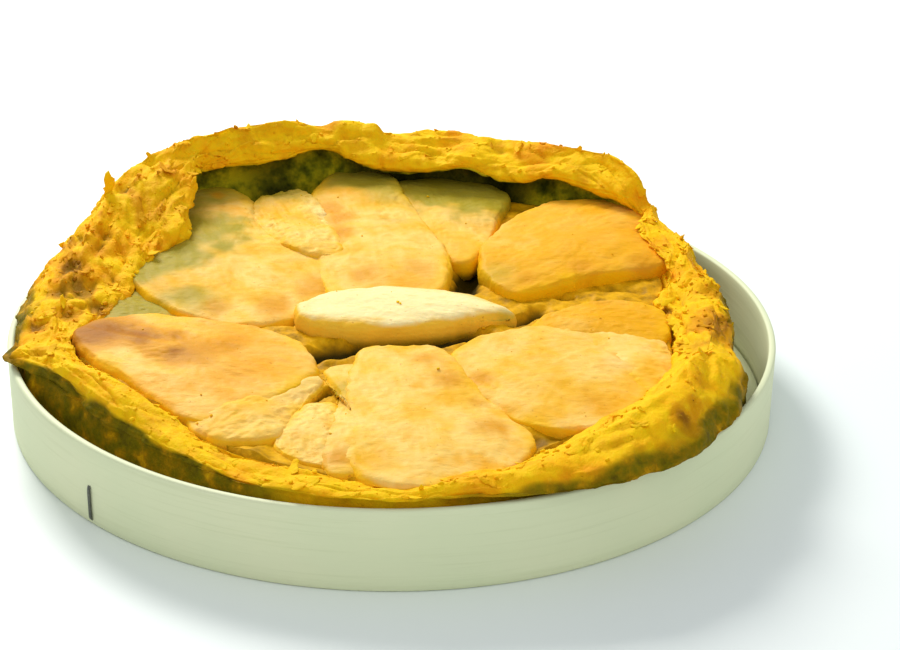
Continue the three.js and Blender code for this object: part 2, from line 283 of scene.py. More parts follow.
def make_piece(name: str, points: np.ndarray, faces: np.ndarray, marks: dict[str, np.ndarray],
               ends: tuple[np.ndarray, ...] = ()) -> bpy.types.Object:
    """Builds a smooth mesh object from arrays.

    Args:
        name: the piece's name.
        points: its vertices in millimetres.
        faces: its four-sided faces, as vertex numbers.
        marks: values kept on the vertices for the finishes to read, by name.
        ends: three-sided faces that close it, as vertex numbers.

    Returns:
        The object, placed in the scene.
    """
    mesh = bpy.data.meshes.new(name)
    triangles = np.concatenate([end.reshape(-1, 3) for end in ends]) if ends else np.zeros((0, 3), int)
    loops = np.concatenate([faces.ravel(), triangles.ravel()])
    sizes = np.concatenate([np.full(len(faces), 4), np.full(len(triangles), 3)])
    mesh.vertices.add(len(points))
    mesh.vertices.foreach_set("co", (points * MM).astype(np.float32).ravel())
    mesh.loops.add(len(loops))
    mesh.loops.foreach_set("vertex_index", loops.astype(np.int32))
    mesh.polygons.add(len(sizes))
    starts = np.concatenate([[0], np.cumsum(sizes)[:-1]])
    mesh.polygons.foreach_set("loop_start", starts.astype(np.int32))
    mesh.update(calc_edges=True)
    mesh.validate()
    mesh.polygons.foreach_set("use_smooth", np.ones(len(mesh.polygons), bool))
    for mark, values in marks.items():
        layer = mesh.attributes.new(mark, "FLOAT", "POINT")
        layer.data.foreach_set("value", values.astype(np.float32).ravel())
    piece = bpy.data.objects.new(name, mesh)
    bpy.context.scene.collection.objects.link(piece)
    return piece


def closed_skin(rings: np.ndarray) -> tuple[np.ndarray, np.ndarray, tuple[np.ndarray, ...]]:
    """Closes a stack of rings with a point at each end.

    Args:
        rings: an array of rings, points round each ring, and x, y, z.

    Returns:
        The points, the four-sided faces, and the triangles at the two ends.
    """
    count, columns = rings.shape[:2]
    first, last = rings[0].mean(axis=0), rings[-1].mean(axis=0)
    points = np.concatenate([rings.reshape(-1, 3), first[None], last[None]])
    faces = grid_faces(count, columns, close_rows=False)
    here = np.arange(columns)
    there = (here + 1) % columns
    start = count * columns
    bottom = np.stack([np.full(columns, start), there, here], axis=-1)
    rim = (count - 1) * columns
    top = np.stack([np.full(columns, start + 1), rim + here, rim + there], axis=-1)
    return points, faces, (bottom, top)


def grid_normals(rings: np.ndarray) -> np.ndarray:
    """Unit normals of a stack of rings, pointing out of it where the rings run anticlockwise.

    Args:
        rings: an array of rings, points round each ring, and x, y, z.

    Returns:
        A normal for each point.
    """
    round_way = np.roll(rings, -1, axis=1) - np.roll(rings, 1, axis=1)
    up_way = np.gradient(rings, axis=0)
    return unit(np.cross(round_way, up_way))


# ---------------------------------------------------------------- finishes


Socket = bpy.types.NodeSocket


def linear(hex_colour: str) -> tuple[float, float, float, float]:
    """Turns an sRGB hex colour into the linear one that a shader takes.

    Args:
        hex_colour: the colour, as in #F2F6F5.

    Returns:
        Its linear red, green and blue, and full cover.
    """
    parts = [int(hex_colour[k : k + 2], 16) / 255.0 for k in (1, 3, 5)]
    curve = [c / 12.92 if c <= 0.04045 else ((c + 0.055) / 1.055) ** 2.4 for c in parts]
    return (*curve, 1.0)


def fill(tree: bpy.types.NodeTree, node: bpy.types.Node, inputs: dict) -> None:
    """Gives each socket of a node, by name or number, a value or a link from another node.

    Args:
        tree: the node tree.
        node: the node.
        inputs: for each socket, a value or another node's output socket.
    """
    for key, value in inputs.items():
        if isinstance(value, Socket):
            tree.links.new(value, node.inputs[key])
        else:
            node.inputs[key].default_value = value


def add_node(tree: bpy.types.NodeTree, kind: str, inputs: dict | None = None,
             stops: tuple[tuple[float, str], ...] = (), **settings: object) -> bpy.types.Node:
    """Adds one node with its settings, values and links.

    Args:
        tree: the node tree that it goes in.
        kind: the node's type name.
        inputs: what its sockets take.
        stops: on a ramp, its places from 0 to 1 and hex colours, in order.
        settings: properties of the node itself.

    Returns:
        The new node.
    """
    node = tree.nodes.new(kind)
    for key, value in settings.items():
        setattr(node, key, value)
    fill(tree, node, inputs or {})
    if stops:
        elements = node.color_ramp.elements
        while len(elements) < len(stops):
            elements.new(0.5)
        for element, (place, colour) in zip(elements, stops):
            element.position = place
            element.color = linear(colour)
    return node


@dataclass(frozen=True)
class Mark:
    """A value that the piece keeps on its vertices, such as how browned it is there."""

    name: str

    def value(self, tree: bpy.types.NodeTree) -> Socket:
        """Reads the mark in a material."""
        return add_node(tree, "ShaderNodeAttribute", attribute_name=self.name).outputs["Fac"]


@dataclass(frozen=True)
class Pattern:
    """Cloudy unevenness whose swells have a real size, and may be drawn out along X, Y and Z."""

    size_mm: float
    detail: float = 4.0
    stretch: tuple[float, float, float] = (1.0, 1.0, 1.0)
    roughness: float = 0.6

    def value(self, tree: bpy.types.NodeTree) -> Socket:
        """Adds the pattern to a material, as values from 0 to 1.

        Args:
            tree: the material's node tree.

        Returns:
            The pattern's output socket.
        """
        place = add_node(tree, "ShaderNodeTexCoord").outputs["Object"]
        scale = [1.0 / s for s in self.stretch]
        drawn = add_node(tree, "ShaderNodeMapping", {"Vector": place, "Scale": scale})
        noise = add_node(tree, "ShaderNodeTexNoise", {
            "Vector": drawn.outputs["Vector"], "Scale": 1.0 / (self.size_mm * MM),
            "Detail": self.detail, "Roughness": self.roughness})
        return noise.outputs["Fac"]


@dataclass(frozen=True)
class Tones:
    """Colours that a pattern runs through, as places from 0 to 1 and sRGB hex values in order."""

    pattern: Pattern
    stops: tuple[tuple[float, str], ...]

    def value(self, tree: bpy.types.NodeTree) -> Socket:
        """Adds the tones to a material."""
        run = {"Fac": self.pattern.value(tree)}
        return add_node(tree, "ShaderNodeValToRGB", run, self.stops).outputs["Color"]


@dataclass(frozen=True)
class Coat:
    """A colour over those below it, whose share grows to most as its source goes from low to high."""

    source: Mark | Pattern
    low: float
    high: float
    most: float
    colour: str | Tones
    least: float = 0.0
    easing: str = "SMOOTHSTEP"

    def over(self, tree: bpy.types.NodeTree, below: Socket) -> Socket:
        """Adds the coat to a material.

        Args:
            tree: the material's node tree.
            below: the colour that the coat goes over.

        Returns:
            The colour with this coat on it.
        """
        share = add_node(tree, "ShaderNodeMapRange", {
            "Value": self.source.value(tree), "From Min": self.low, "From Max": self.high,
            "To Min": self.least, "To Max": self.most}, interpolation_type=self.easing)
        colour = linear(self.colour) if isinstance(self.colour, str) else self.colour.value(tree)
        # Sockets 0, 6 and 7 are the share and the two colours, and output 2 is their mix.
        mixed = add_node(tree, "ShaderNodeMix", {0: share.outputs["Result"], 6: below, 7: colour},
                         data_type="RGBA", blend_type="MIX", clamp_factor=True)
        return mixed.outputs[2]


@dataclass(frozen=True)
class Finish:
    """What every finish has: a name, a slot, its shader's values, colours and relief."""

    name: str
    slot: str
    base: Tones
    coats: tuple[Coat, ...] = ()
    relief: tuple[tuple[Pattern, float], ...] = ()
    roughness: float = 0.5
    ior: float = 1.45
    metallic: float = 0.0
    coat: float = 0.0
    coat_roughness: float = 0.1
    specular_level: float = 0.5
    subsurface: float = 0.0
    subsurface_reach_mm: float = 1.0
    subsurface_colour: tuple[float, float, float] = (1.0, 0.55, 0.2)

    def make(self) -> bpy.types.Material:
        """Makes the material: its coats over its base, and its relief, each layer as deep in mm.

        Returns:
            The material.
        """
        material = bpy.data.materials.new(self.name)
        material.use_nodes = True
        tree = material.node_tree
        colour = self.base.value(tree)
        for coat in self.coats:
            colour = coat.over(tree, colour)
        normal = {}
        for pattern, depth_mm in self.relief:
            heights = {"Height": pattern.value(tree), "Distance": depth_mm * MM, "Strength": 1.0}
            bump = add_node(tree, "ShaderNodeBump", heights | normal)
            normal = {"Normal": bump.outputs["Normal"]}
        values = {
            "Base Color": colour, "Roughness": self.roughness, "IOR": self.ior,
            "Metallic": self.metallic, "Specular IOR Level": self.specular_level,
            "Coat Weight": self.coat, "Coat Roughness": self.coat_roughness,
        }
        if self.subsurface:
            values |= {
                "Subsurface Weight": self.subsurface, "Subsurface Radius": self.subsurface_colour,
                "Subsurface Scale": self.subsurface_reach_mm * MM,
            }
        fill(tree, tree.nodes["Principled BSDF"], values | normal)
        return material


@dataclass(frozen=True)
class PuffPastry(Finish):
    """Baked puff pastry: dry flaky crust, golden on top and browner on its outer side, with painted shade on
    that side, in its creases and under its fold.
    """

    name: str = "baked_puff_pastry"
    slot: str = "baked_pastry"
    roughness: float = 0.68
    specular_level: float = 0.08
    subsurface: float = 0.12
    subsurface_reach_mm: float = 1.5
    base: Tones = Tones(Pattern(16.0, 3.0), (
        (0.30, "#E6A604"), (0.45, "#FCC80A"), (0.57, "#FAB808"), (0.72, "#EA9608")))
    coats: tuple[Coat, ...] = (
        Coat(Mark("bake"), 0.25, 0.65, 0.8, "#D88E02"),
        Coat(Mark("bake"), 0.65, 1.1, 0.9, "#8A5602"),
        Coat(Pattern(2.2), 0.58, 0.74, 0.35, "#FFD42C"),
        # Outer side: browner crust with painted shade, dark green-brown where the shade is deepest.
        Coat(Mark("outer_bake_and_shade"), 0.08, 0.8, 0.92, Tones(Pattern(7.0), (
            (0.34, "#3A3C06"), (0.46, "#5E5A02"), (0.56, "#806602"), (0.64, "#A87A04"),
            (0.72, "#D0A006")))),
        # Painted shade in the crust's creases, pits and sunken flakes.
        Coat(Mark("deep"), 0.3, 1.1, 0.8, "#8A660A"),
        # Painted shade under the fold, dark green-brown.
        Coat(Mark("fold_shadow"), 0.0, 1.0, 1.0, Tones(Pattern(9.0, 3.0), (
            (0.35, "#3A4204"), (0.48, "#7C7C08"), (0.62, "#C6B414")))),
        # Painted shadow, near black, where the shade under the fold is deepest.
        Coat(Mark("fold_shadow"), 0.9, 1.8, 0.8, "#2A2604"),
    )
    relief: tuple[tuple[Pattern, float], ...] = ((Pattern(2.2), 0.5), (Pattern(0.9, 3.0), 0.2))


APPLE_FIBRES = Pattern(2.6, stretch=(2.5, 1.0, 1.0))


@dataclass(frozen=True)
class BakedApple(Finish):
    """Peeled apple, baked soft: moist flesh that lets light in, with juice drying on it."""

    name: str = "baked_apple"
    slot: str = "baked_apple"
    roughness: float = 0.6
    ior: float = 1.40
    coat: float = 0.02
    coat_roughness: float = 0.3
    specular_level: float = 0.1
    subsurface: float = 0.08
    subsurface_reach_mm: float = 2.0
    base: Tones = Tones(Pattern(20.0, 3.0), (
        (0.32, "#ECB024"), (0.42, "#F8C248"), (0.56, "#FED474"), (0.70, "#F4B234")))
    coats: tuple[Coat, ...] = (
        # Pale cream where warmth is low: paler flesh, and on the centre wedge a painted highlight over its
        # top.
        Coat(Mark("warmth"), -0.5, 0.1, 0.0, "#FFE7A6", least=1.0),
        Coat(Mark("warmth"), 0.1, 1.0, 1.0, "#F5A62A"),
        Coat(Mark("gold"), 0.0, 1.0, 1.0, "#EDA808", easing="LINEAR"),
        Coat(APPLE_FIBRES, 0.5, 0.75, 0.3, "#F4AC34"),
        Coat(Mark("side"), 0.1, 1.0, 0.9, "#F6BC04"),
        # Painted shade at the foot of each slice's side.
        Coat(Mark("deep"), 0.0, 1.0, 0.8, "#8A7006"),
        # Greenish tint: partly the flesh's own green, partly painted shadow cast by the crust's fold.
        Coat(Mark("olive_and_shade"), 0.0, 1.0, 0.85, "#968C1C"),
        Coat(Mark("toast"), 0.15, 0.7, 0.85, "#DA920C"),
        Coat(Mark("toast"), 0.6, 1.25, 0.8, "#985604"),
        Coat(Pattern(1.7, 2.0), 0.69, 0.76, 0.5, "#B9701C"),
    )
    relief: tuple[tuple[Pattern, float], ...] = (
        (APPLE_FIBRES, 0.45), (Pattern(1.1, 3.0, (2.0, 1.0, 1.0)), 0.15))


@dataclass(frozen=True)
class AppleCompote(Finish):
    """Apple cooked down in its juice: soft golden lumps, with painted shade where it has sunk between the
    slices.
    """

    name: str = "apple_compote"
    slot: str = "juicy_filling"
    roughness: float = 0.6
    ior: float = 1.38
    coat: float = 0.02
    coat_roughness: float = 0.4
    specular_level: float = 0.08
    base: Tones = Tones(Pattern(6.0), (
        (0.30, "#9A7002"), (0.42, "#C08C04"), (0.56, "#DEA408"), (0.72, "#F0B81A")))
    # Painted shade in the gaps where the compote has sunk between slices.
    coats: tuple[Coat, ...] = (Coat(Mark("deep"), 0.1, 0.75, 1.0, "#3A2E02"),)
    relief: tuple[tuple[Pattern, float], ...] = ((Pattern(6.0), 0.8),)


# The grain runs round the ring, so it only changes quickly with height.
VENEER_GRAIN = Pattern(1.2, stretch=(40.0, 40.0, 1.0))


@dataclass(frozen=True)
class PoplarVeneer(Finish):
    """Sliced poplar veneer, bent to a ring: pale, matt, with fine grain along the strip."""

    name: str = "sliced_poplar_veneer"
    slot: str = "veneer"
    roughness: float = 0.62
    base: Tones = Tones(Pattern(60.0, 2.0), ((0.35, "#E6E8C0"), (0.65, "#DFE5BC")))
    coats: tuple[Coat, ...] = (Coat(VENEER_GRAIN, 0.52, 0.72, 0.22, "#CBD0A0"),)
    relief: tuple[tuple[Pattern, float], ...] = ((VENEER_GRAIN, 0.12),)


@dataclass(frozen=True)
class StapleWire(Finish):
    """Galvanised steel wire, pressed flat: dull grey with a soft sheen."""

    name: str = "galvanised_wire"
    slot: str = "staple_steel"
    roughness: float = 0.42
    ior: float = 1.5
    metallic: float = 0.85
    base: Tones = Tones(Pattern(0.6, 3.0), ((0.35, "#56584F"), (0.65, "#6C6E66")))


@dataclass(frozen=True)
class StudioFloor(Finish):
    """Painted board, matt and nearly white."""

    name: str = "painted_board"
    slot: str = ""
    roughness: float = 0.6
    base: Tones = Tones(Pattern(400.0, 1.0), ((0.4, "#EEF4F4"), (0.6, "#F2F6F5")))


class Look(Enum):
    """The finishes that the pieces wear."""

    PASTRY = PuffPastry()
    APPLE = BakedApple()
    COMPOTE = AppleCompote()
    VENEER = PoplarVeneer()
    WIRE = StapleWire()


class Wardrobe:
    """Makes each finish once and dresses pieces in it."""

    def __init__(self) -> None:
        """Starts with no finish made."""
        self.made: dict[Look, bpy.types.Material] = {}

    def dress(self, piece: bpy.types.Object, look: Look, *nodes: str) -> None:
        """Gives a piece its finish and body, and hides the frame's nodes that it stands for.

        Args:
            piece: the piece to dress.
            look: its finish.
            nodes: the frame's nodes that it replaces.
        """
        if look not in self.made:
            self.made[look] = look.value.make()
        piece.data.materials.clear()
        piece.data.materials.append(self.made[look])
        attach(piece, BODY)
        if nodes:
            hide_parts(*nodes)
        LOG.info("%s: %d faces, finish %s", piece.name, len(piece.data.polygons), look.value.name)


# ---------------------------------------------------------------- the dish


@dataclass
class Dish:
    """The thin round wooden dish, sized from the frame's own ring and base."""

    veneer: float = 2.4
    rim_rounding: float = 0.8
    sides: int = 360
    base_sides: int = 180
    wave: float = 0.25
    foot_rounding: float = 0.4
    base_rounding: float = 0.3
    staple_half_width: float = 0.65
    staple_depth: float = 0.75

    def __post_init__(self) -> None:
        """Reads the ring's radius and height, and the base's size, from the frame."""
        _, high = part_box("dish_wall")
        self.radius, self.height = high[0] / MM, high[2] / MM
        _, base_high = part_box("dish_base")
        self.base_radius, self.base_height = base_high[0] / MM, base_high[2] / MM

    def ring_points(self) -> np.ndarray:
        """Sweeps the strip's section round the dish.

        Returns:
            Rings of points that close on themselves both ways.
        """
        inner = self.radius - self.veneer
        ease = self.rim_rounding
        corner = [(0.0, -1.0), (0.3, -0.3), (1.0, 0.0)]
        foot = self.foot_rounding
        section = [(self.radius - foot, 0.0), (self.radius, foot)]
        section += [(self.radius, self.height * k / 6.0) for k in range(1, 6)]
        section += [(self.radius - ease * a, self.height + ease * b) for a, b in corner]
        section += [(inner + ease * a, self.height + ease * b) for a, b in reversed(corner)]
        section += [(inner, self.height * k / 6.0) for k in range(5, 0, -1)]
        section += [(inner, foot), (inner + foot, 0.0)]
        angle = np.arange(self.sides) / self.sides * TURN
        profile = np.array(section)
        radius = profile[:, :1] + self.wave * np.sin(3 * angle + 0.6)[None] * 0.4
        rise = profile[:, 1:] / self.height
        height = profile[:, 1:] + rise**4 * self.wave * np.sin(5 * angle + 1.9)[None] * 0.6
        return np.stack([radius * np.cos(angle), radius * np.sin(angle), height], axis=-1)

    def make_ring(self) -> bpy.types.Object:
        """Builds the upright ring.

        Returns:
            The object, placed in the scene.
        """
        rings = self.ring_points()
        faces = grid_faces(*rings.shape[:2], close_rows=True)
        return make_piece("dish_ring", rings.reshape(-1, 3), faces, {})

    def make_base(self) -> bpy.types.Object:
        """Builds the flat base with softly broken edges.

        Returns:
            The object, placed in the scene.
        """
        ease = self.base_rounding
        section = [(0.5, 0.0), (0.97, 0.0), (1.0, ease), (1.0, self.base_height - ease),
                   (0.97, self.base_height), (0.5, self.base_height)]
        angle = np.arange(self.base_sides) / self.base_sides * TURN
        circle = np.stack([np.cos(angle), np.sin(angle)], axis=-1)
        rings = np.array([with_height(scale * self.base_radius * circle, height)
                          for scale, height in section])
        points, faces, ends = closed_skin(rings)
        return make_piece("dish_floor", points, faces, {}, ends)

    def make_staple(self) -> bpy.types.Object:
        """Builds the staple's round-shouldered crown against the ring.

        Returns:
            The object, placed in the scene.
        """
        low, high = (np.array(corner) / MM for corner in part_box("staple"))
        middle = (low + high) / 2.0
        out = unit(np.array([middle[0], middle[1], 0.0]))
        side = np.array([-out[1], out[0], 0.0])
        length = high[2] - low[2]
        foot = out * (self.radius + 0.15) + np.array([0.0, 0.0, low[2]])
        rings = []
        for step in np.linspace(0.0, 1.0, 25):
            shoulder = 1.0 - (2.0 * abs(step - 0.5)) ** 10
            turn = np.linspace(0.0, TURN, 16, endpoint=False)
            across = self.staple_half_width * np.cos(turn)
            lift = self.staple_depth * shoulder * (0.5 + 0.5 * np.sin(turn))
            ring = foot + across[:, None] * side + lift[:, None] * out
            ring[:, 2] += length * step
            rings.append(ring)
        points, faces, ends = closed_skin(np.array(rings))
        return make_piece("staple_crown", points, faces, {}, ends)

    def build(self, wardrobe: Wardrobe) -> None:
        """Builds and dresses the ring, the base and the staple.

        Args:
            wardrobe: dresses each piece in its finish.
        """
        wardrobe.dress(self.make_ring(), Look.VENEER, "dish_wall")
        wardrobe.dress(self.make_base(), Look.VENEER, "dish_base")
        wardrobe.dress(self.make_staple(), Look.WIRE, "staple")


# ---------------------------------------------------------------- the pastry


@dataclass(frozen=True)
class Station:
    """The pastry's section at one angle, with heights from the dish's rim."""

    at: float
    outer: float
    crest: tuple[float, float]
    lip: tuple[float, float]
    hollow: float = 0.0


@dataclass(frozen=True)
class Pit:
    """A dent or hole in the crust, where it lies in plan, and how brown it is."""

    x: float
    y: float
    reach: float
    depth: float
    brown: float = 0.6


FOLDED_EDGE = (
    Station(0, 116, (106, 11), (90, 8)),
    Station(12, 115, (109, 12), (97, 10.5)),
    Station(22, 117, (111, 14), (99, 12.5)),
    Station(32, 121, (115, 14.5), (104, 12.5)),
    Station(37, 125, (120, 17), (113, 13), 2),
    Station(41, 126, (121, 24), (112, 16.5), 4),
    Station(50, 127, (121, 27.5), (109, 18.5), 7),
    Station(56, 127, (121, 27), (106, 20), 9),
    Station(62, 127, (120, 26), (102, 17), 12),
    Station(68, 127, (120, 26), (100, 17.5), 13),
    Station(75, 127, (119, 25.5), (100, 21), 12),
    Station(83, 127, (119, 25), (99, 19), 12),
    Station(91.5, 127, (119, 25.5), (100, 19), 11),
    Station(94, 127, (118, 29), (100, 20), 10),
    Station(101, 127, (118, 29.5), (104, 22), 9),
    Station(102.5, 127, (119, 28), (108, 23.5), 8),
    Station(106, 127, (119, 29.5), (110, 24), 7),
    Station(113, 127, (119, 32), (107, 22.5), 9),
    Station(121, 127, (120, 33), (109, 22.5), 8),
    Station(129, 127, (120, 33), (112, 23), 7),
    Station(131.5, 127, (119, 32.5), (110, 25), 8),
    Station(135, 127, (119, 32), (103, 24), 10),
    Station(141, 127, (119, 30), (96, 19), 9),
    Station(150, 127, (119, 25), (86, 14), 6),
    Station(157, 126.5, (118, 20), (88, 12), 5),
    Station(164, 126, (117, 17), (90, 10), 4),
    Station(172, 126, (116, 14), (89, 8), 3),
    Station(181, 127, (117, 11), (91, 5.5), 2),
    Station(189, 128, (117, 8), (102, 5)),
    Station(194, 130, (119, 7), (108, 6)),
    Station(197, 133.5, (119, 8), (109, 6)),
    Station(200, 129, (118, 9), (109, 7)),
    Station(206, 123, (117, 10), (107, 6)),
    Station(216, 120, (115, 11), (104, 6)),
    Station(228, 120, (115, 9), (103, 5)),
    Station(240, 123, (118, 6), (107, 4)),
    Station(252, 127, (121, 5), (112, 4)),
    Station(270, 129, (123, 5), (116, 3)),
    Station(281, 130, (124, 6), (117, 4)),
    Station(291, 134, (122, 9), (112, 5)),
    Station(301, 137, (120, 12), (105, 5)),
    Station(311, 136, (118, 14), (103, 5)),
    Station(321, 133, (116, 16), (103, 6)),
    Station(331, 128, (114, 16), (102, 8)),
    Station(341, 120, (111, 15), (97, 8)),
    Station(351, 116, (108, 13), (92, 8)),
)

CRUST_PITS = (
    Pit(-110, 14, 13, 1.2, 0.9),
    Pit(-104, 26, 10, 1.0, 0.7),
    Pit(-116, 28, 9, 0.8, 0.7),
    Pit(-96, 12, 8, 0.6, 0.5),
    Pit(88, -94, 9, 0.2, 0.8),
    Pit(92, -86, 7, 0.2, 0.7),
    Pit(72, -108, 8, 0.0, 0.5),
    Pit(-109, -13, 8, 2.0, 0.8),
    Pit(-99, -6, 8, 2.2, 0.8),
    Pit(-91, -1, 7, 1.8, 0.6),
    Pit(-106, 4, 9, 2.5, 0.9),
    Pit(-114, -3, 7, 2.0, 0.8),
    Pit(-118, -22, 7, 2.5, 0.9),
    Pit(-112, 14, 7, 1.5, 0.5),
    Pit(-92, -14, 9, 1.2, 0.5),
    Pit(-103, 36, 5, 1.5, 0.5),
    Pit(-98, 58, 6, 1.5, 0.4),
    Pit(-24, 116, 9, 0.0, 0.5),
    Pit(-60, 106, 8, 0.3, 0.35),
    Pit(88, 12, 9, 1.5, 0.6),
    Pit(105, -26, 16, 0.8, 0.9),
    Pit(110, 4, 14, 0.5, 0.6),
    Pit(112, -40, 14, 0.8, 0.6),
    Pit(98, -44, 9, 0.5, 0.5),
    Pit(91, -8, 4, 1.5, 0.9),
    Pit(82, -62, 3, 1.2, 0.8),
    Pit(74, -74, 3, 1.0, 0.7),
    Pit(-106, 72, 6, 1.2, 0.5),
    Pit(40, 108, 7, 1.2, 0.4),
    Pit(96, -74, 10, 0.3, 0.4),
)


# How flaky the crust is, and how shaded its outer side, at some angles.
FLAKINESS = ((0, 0.65), (28, 0.45), (48, 0.3), (90, 0.3), (112, 0.4), (132, 0.8), (155, 1.0),
             (192, 0.7), (214, 0.3), (262, 0.25), (300, 0.25), (330, 0.35), (348, 0.6))
SHADED_SIDE = ((0, 0.75), (40, 0.6), (90, 0.5), (150, 0.6), (185, 0.8), (200, 1.0), (240, 1.0),
               (254, 0.5), (268, 0.35), (284, 0.5), (300, 0.85), (340, 0.9))


@dataclass
class PastryShell:
    """The flaky shell: one skin from its floor, up its side and over its folded edge."""

    rim: float
    floor: float
    side_limit: float
    columns: int = 860
    bed_floor: float = -11.0
    flap: float = 4.2
    wall_top: float = 0.4
    bulge_height: float = 2.4
    tear_radius: float = 120.0
    stations: tuple[Station, ...] = FOLDED_EDGE
    pits: tuple[Pit, ...] = CRUST_PITS
    steps: tuple[int, ...] = (2, 2, 3, 9, 12, 12, 15, 15, 7, 6, 10, 8, 4)
    marks: dict[str, np.ndarray] = field(default_factory=dict)
    skin: np.ndarray = field(default_factory=lambda: np.zeros((0, 0, 3)))

    def station_values(self, degrees: np.ndarray) -> dict[str, np.ndarray]:
        """Reads every measure of the folded edge at some angles.

        Args:
            degrees: the angles.

        Returns:
            The measures, by name.
        """
        names = ("outer", "crest_r", "crest_z", "lip_r", "lip_z", "hollow")
        rows = [(s.at, s.outer, *s.crest, *s.lip, s.hollow) for s in self.stations]
        at, *measures = np.array(rows, float).T
        return {name: ring_spline(at, row, degrees) for name, row in zip(names, measures)}

    def sections(self, degrees: np.ndarray) -> np.ndarray:
        """Lists the corners of the pastry's section at each angle.

        Args:
            degrees: the angles.

        Returns:
            Radius and height from the rim of each corner, for each angle.
        """
        v = self.station_values(degrees)
        circle = np.stack([np.cos(np.radians(degrees)), np.sin(np.radians(degrees)),
                           np.zeros_like(degrees)], axis=-1) * self.tear_radius
        tear = 1.3 * layered_cloud(circle, 14.0, 3, 3) + 0.5 * cloud(circle, 3.0, 9)
        wander = 1.6 * cloud(circle, 24.0, 12)
        swell = 1.3 * layered_cloud(circle, 20.0, 21, 3)
        side = np.minimum(v["outer"], self.side_limit)
        outer = np.maximum(v["outer"], side + 0.2) + np.where(v["outer"] > self.side_limit + 1, 0.7 * tear, 0)
        crest_r, crest_z = v["crest_r"] + wander, v["crest_z"] + swell * smooth(v["crest_z"] / 10.0)
        lip_r, lip_z = v["lip_r"] + tear, v["lip_z"]
        under = lip_z - self.flap
        foot = lip_r + 0.45 * v["hollow"]
        floor = self.floor - self.rim
        rows = [
            (side - 7.0, floor),
            (side - 1.5, floor + 4),
            (side, floor + 12),
            (side, self.wall_top),
            (outer, self.bulge_height),
            (outer + 0.30 * (crest_r - outer), 2.2 + 0.66 * (crest_z - 2.2)),
            (crest_r, crest_z),
            (crest_r + 0.5 * (lip_r - crest_r), crest_z + 0.42 * (lip_z - crest_z)),
            (lip_r + 0.10 * (crest_r - lip_r), lip_z + 0.16 * (crest_z - lip_z)),
            (lip_r, lip_z - 0.4 * self.flap),
            (lip_r + 1.2, under),
            (lip_r + v["hollow"], under - 2.0),
            (foot, np.minimum(under - 6.0, -3.5)),
            (foot - 1.0, self.bed_floor),
        ]
        return np.stack([np.stack(np.broadcast_arrays(*row), axis=-1) for row in rows], axis=1)

    def rough_skin(self) -> np.ndarray:
        """Sweeps the sections into rings, from the floor to the bed.

        Returns:
            The rings of points.
        """
        degrees = degrees_round(self.columns)
        profile = row_spline(self.sections(degrees), list(self.steps))
        angle = np.radians(degrees)[:, None]
        rings = np.stack([profile[..., 0] * np.cos(angle), profile[..., 0] * np.sin(angle),
                          profile[..., 1] + self.rim], axis=-1)
        return rings.transpose(1, 0, 2)

    def broken(self, degrees: np.ndarray, path: np.ndarray,
               long_way: np.ndarray) -> tuple[np.ndarray, np.ndarray]:
        """Breaks the crust into large flakes and small chips.

        Args:
            degrees: the angles round the shell.
            path: how far along its section each point lies.
            long_way: the points, drawn out round the shell.

        Returns:
            How far the flakes and the chips stand out.
        """
        warp = layered_cloud(long_way, 12.0, 31, 3)
        around = degrees[None] / 360.0
        flakes_round, chips_round = 40, 130
        big = shards(flakes_round * around + 0.5 * warp, path / 6.5 + warp, flakes_round, 41)
        small = shards(chips_round * around + 0.8 * warp, path / 3.4 + warp, chips_round, 51)
        return 1.3 * (big.value - 0.5) + 1.4 * big.tilt, 0.5 * (small.value - 0.5) + 0.5 * small.tilt

    def leaves(self, rings: np.ndarray, path: np.ndarray,
               rough: np.ndarray) -> tuple[np.ndarray, np.ndarray]:
        """Lays leaves of pastry over each other, where the crust is leafy.

        Args:
            rings: the skin's points.
            path: how far along its section each point lies.
            rough: how flaky the crust is.

        Returns:
            How leafy the crust is, and how near each point is to its leaf's lifted edge.
        """
        leaf_width = 7.0
        at = (path + 7.0 * layered_cloud(rings, 22.0, 71, 3)) / leaf_width
        return smooth((cloud(rings, 19.0, 75) + 0.35 * rough) / 0.4), at - np.floor(at)

    def baked_skin(self) -> np.ndarray:
        """Puffs, flakes and pits the skin, and keeps its browning as marks.

        Returns:
            The finished rings of points.
        """
        rings = self.rough_skin()
        normals = grid_normals(rings)
        rows = rings.shape[0]
        steps = np.linalg.norm(np.diff(rings, axis=0), axis=-1)
        path = np.cumsum(np.concatenate([np.zeros((1, self.columns)), steps]), axis=0)
        degrees = degrees_round(self.columns)
        rough = self.around(degrees, FLAKINESS)[None]
        drawn_out = 0.42
        long_way = np.stack([rings[..., 0] * drawn_out, rings[..., 1] * drawn_out, path], axis=-1)
        flake, chip = self.broken(degrees, path, long_way)
        leafy, leaf = self.leaves(rings, path, rough)
        pitted, brown = self.pit_depth(rings)
        puff = 2.1 * layered_cloud(long_way, 15.0, 61, 3) + 0.9 * cloud(rings, 11.0, 67)
        crease = 1.0 - np.abs(layered_cloud(long_way, 9.0, 65, 2))
        laminated = np.sin(TURN * (rings[..., 2] / 1.6 + 0.8 * layered_cloud(rings, 9.0, 73, 2)))
        steep = smooth((0.55 - np.abs(normals[..., 2])) / 0.5)
        top = smooth((normals[..., 2] + 0.2) / 0.7)
        wrinkles = 0.3 * layered_cloud(rings, 4.0, 77, 3)
        lift = puff - 0.9 * crease**7 + 1.0 * leafy * (leaf**1.6 - 0.4) + wrinkles
        lift = lift + flake * (0.25 + 0.75 * rough) * (0.4 + 0.6 * top) + chip * (0.2 + 0.8 * rough)
        lift = lift + 0.3 * laminated * steep - 0.8 - pitted
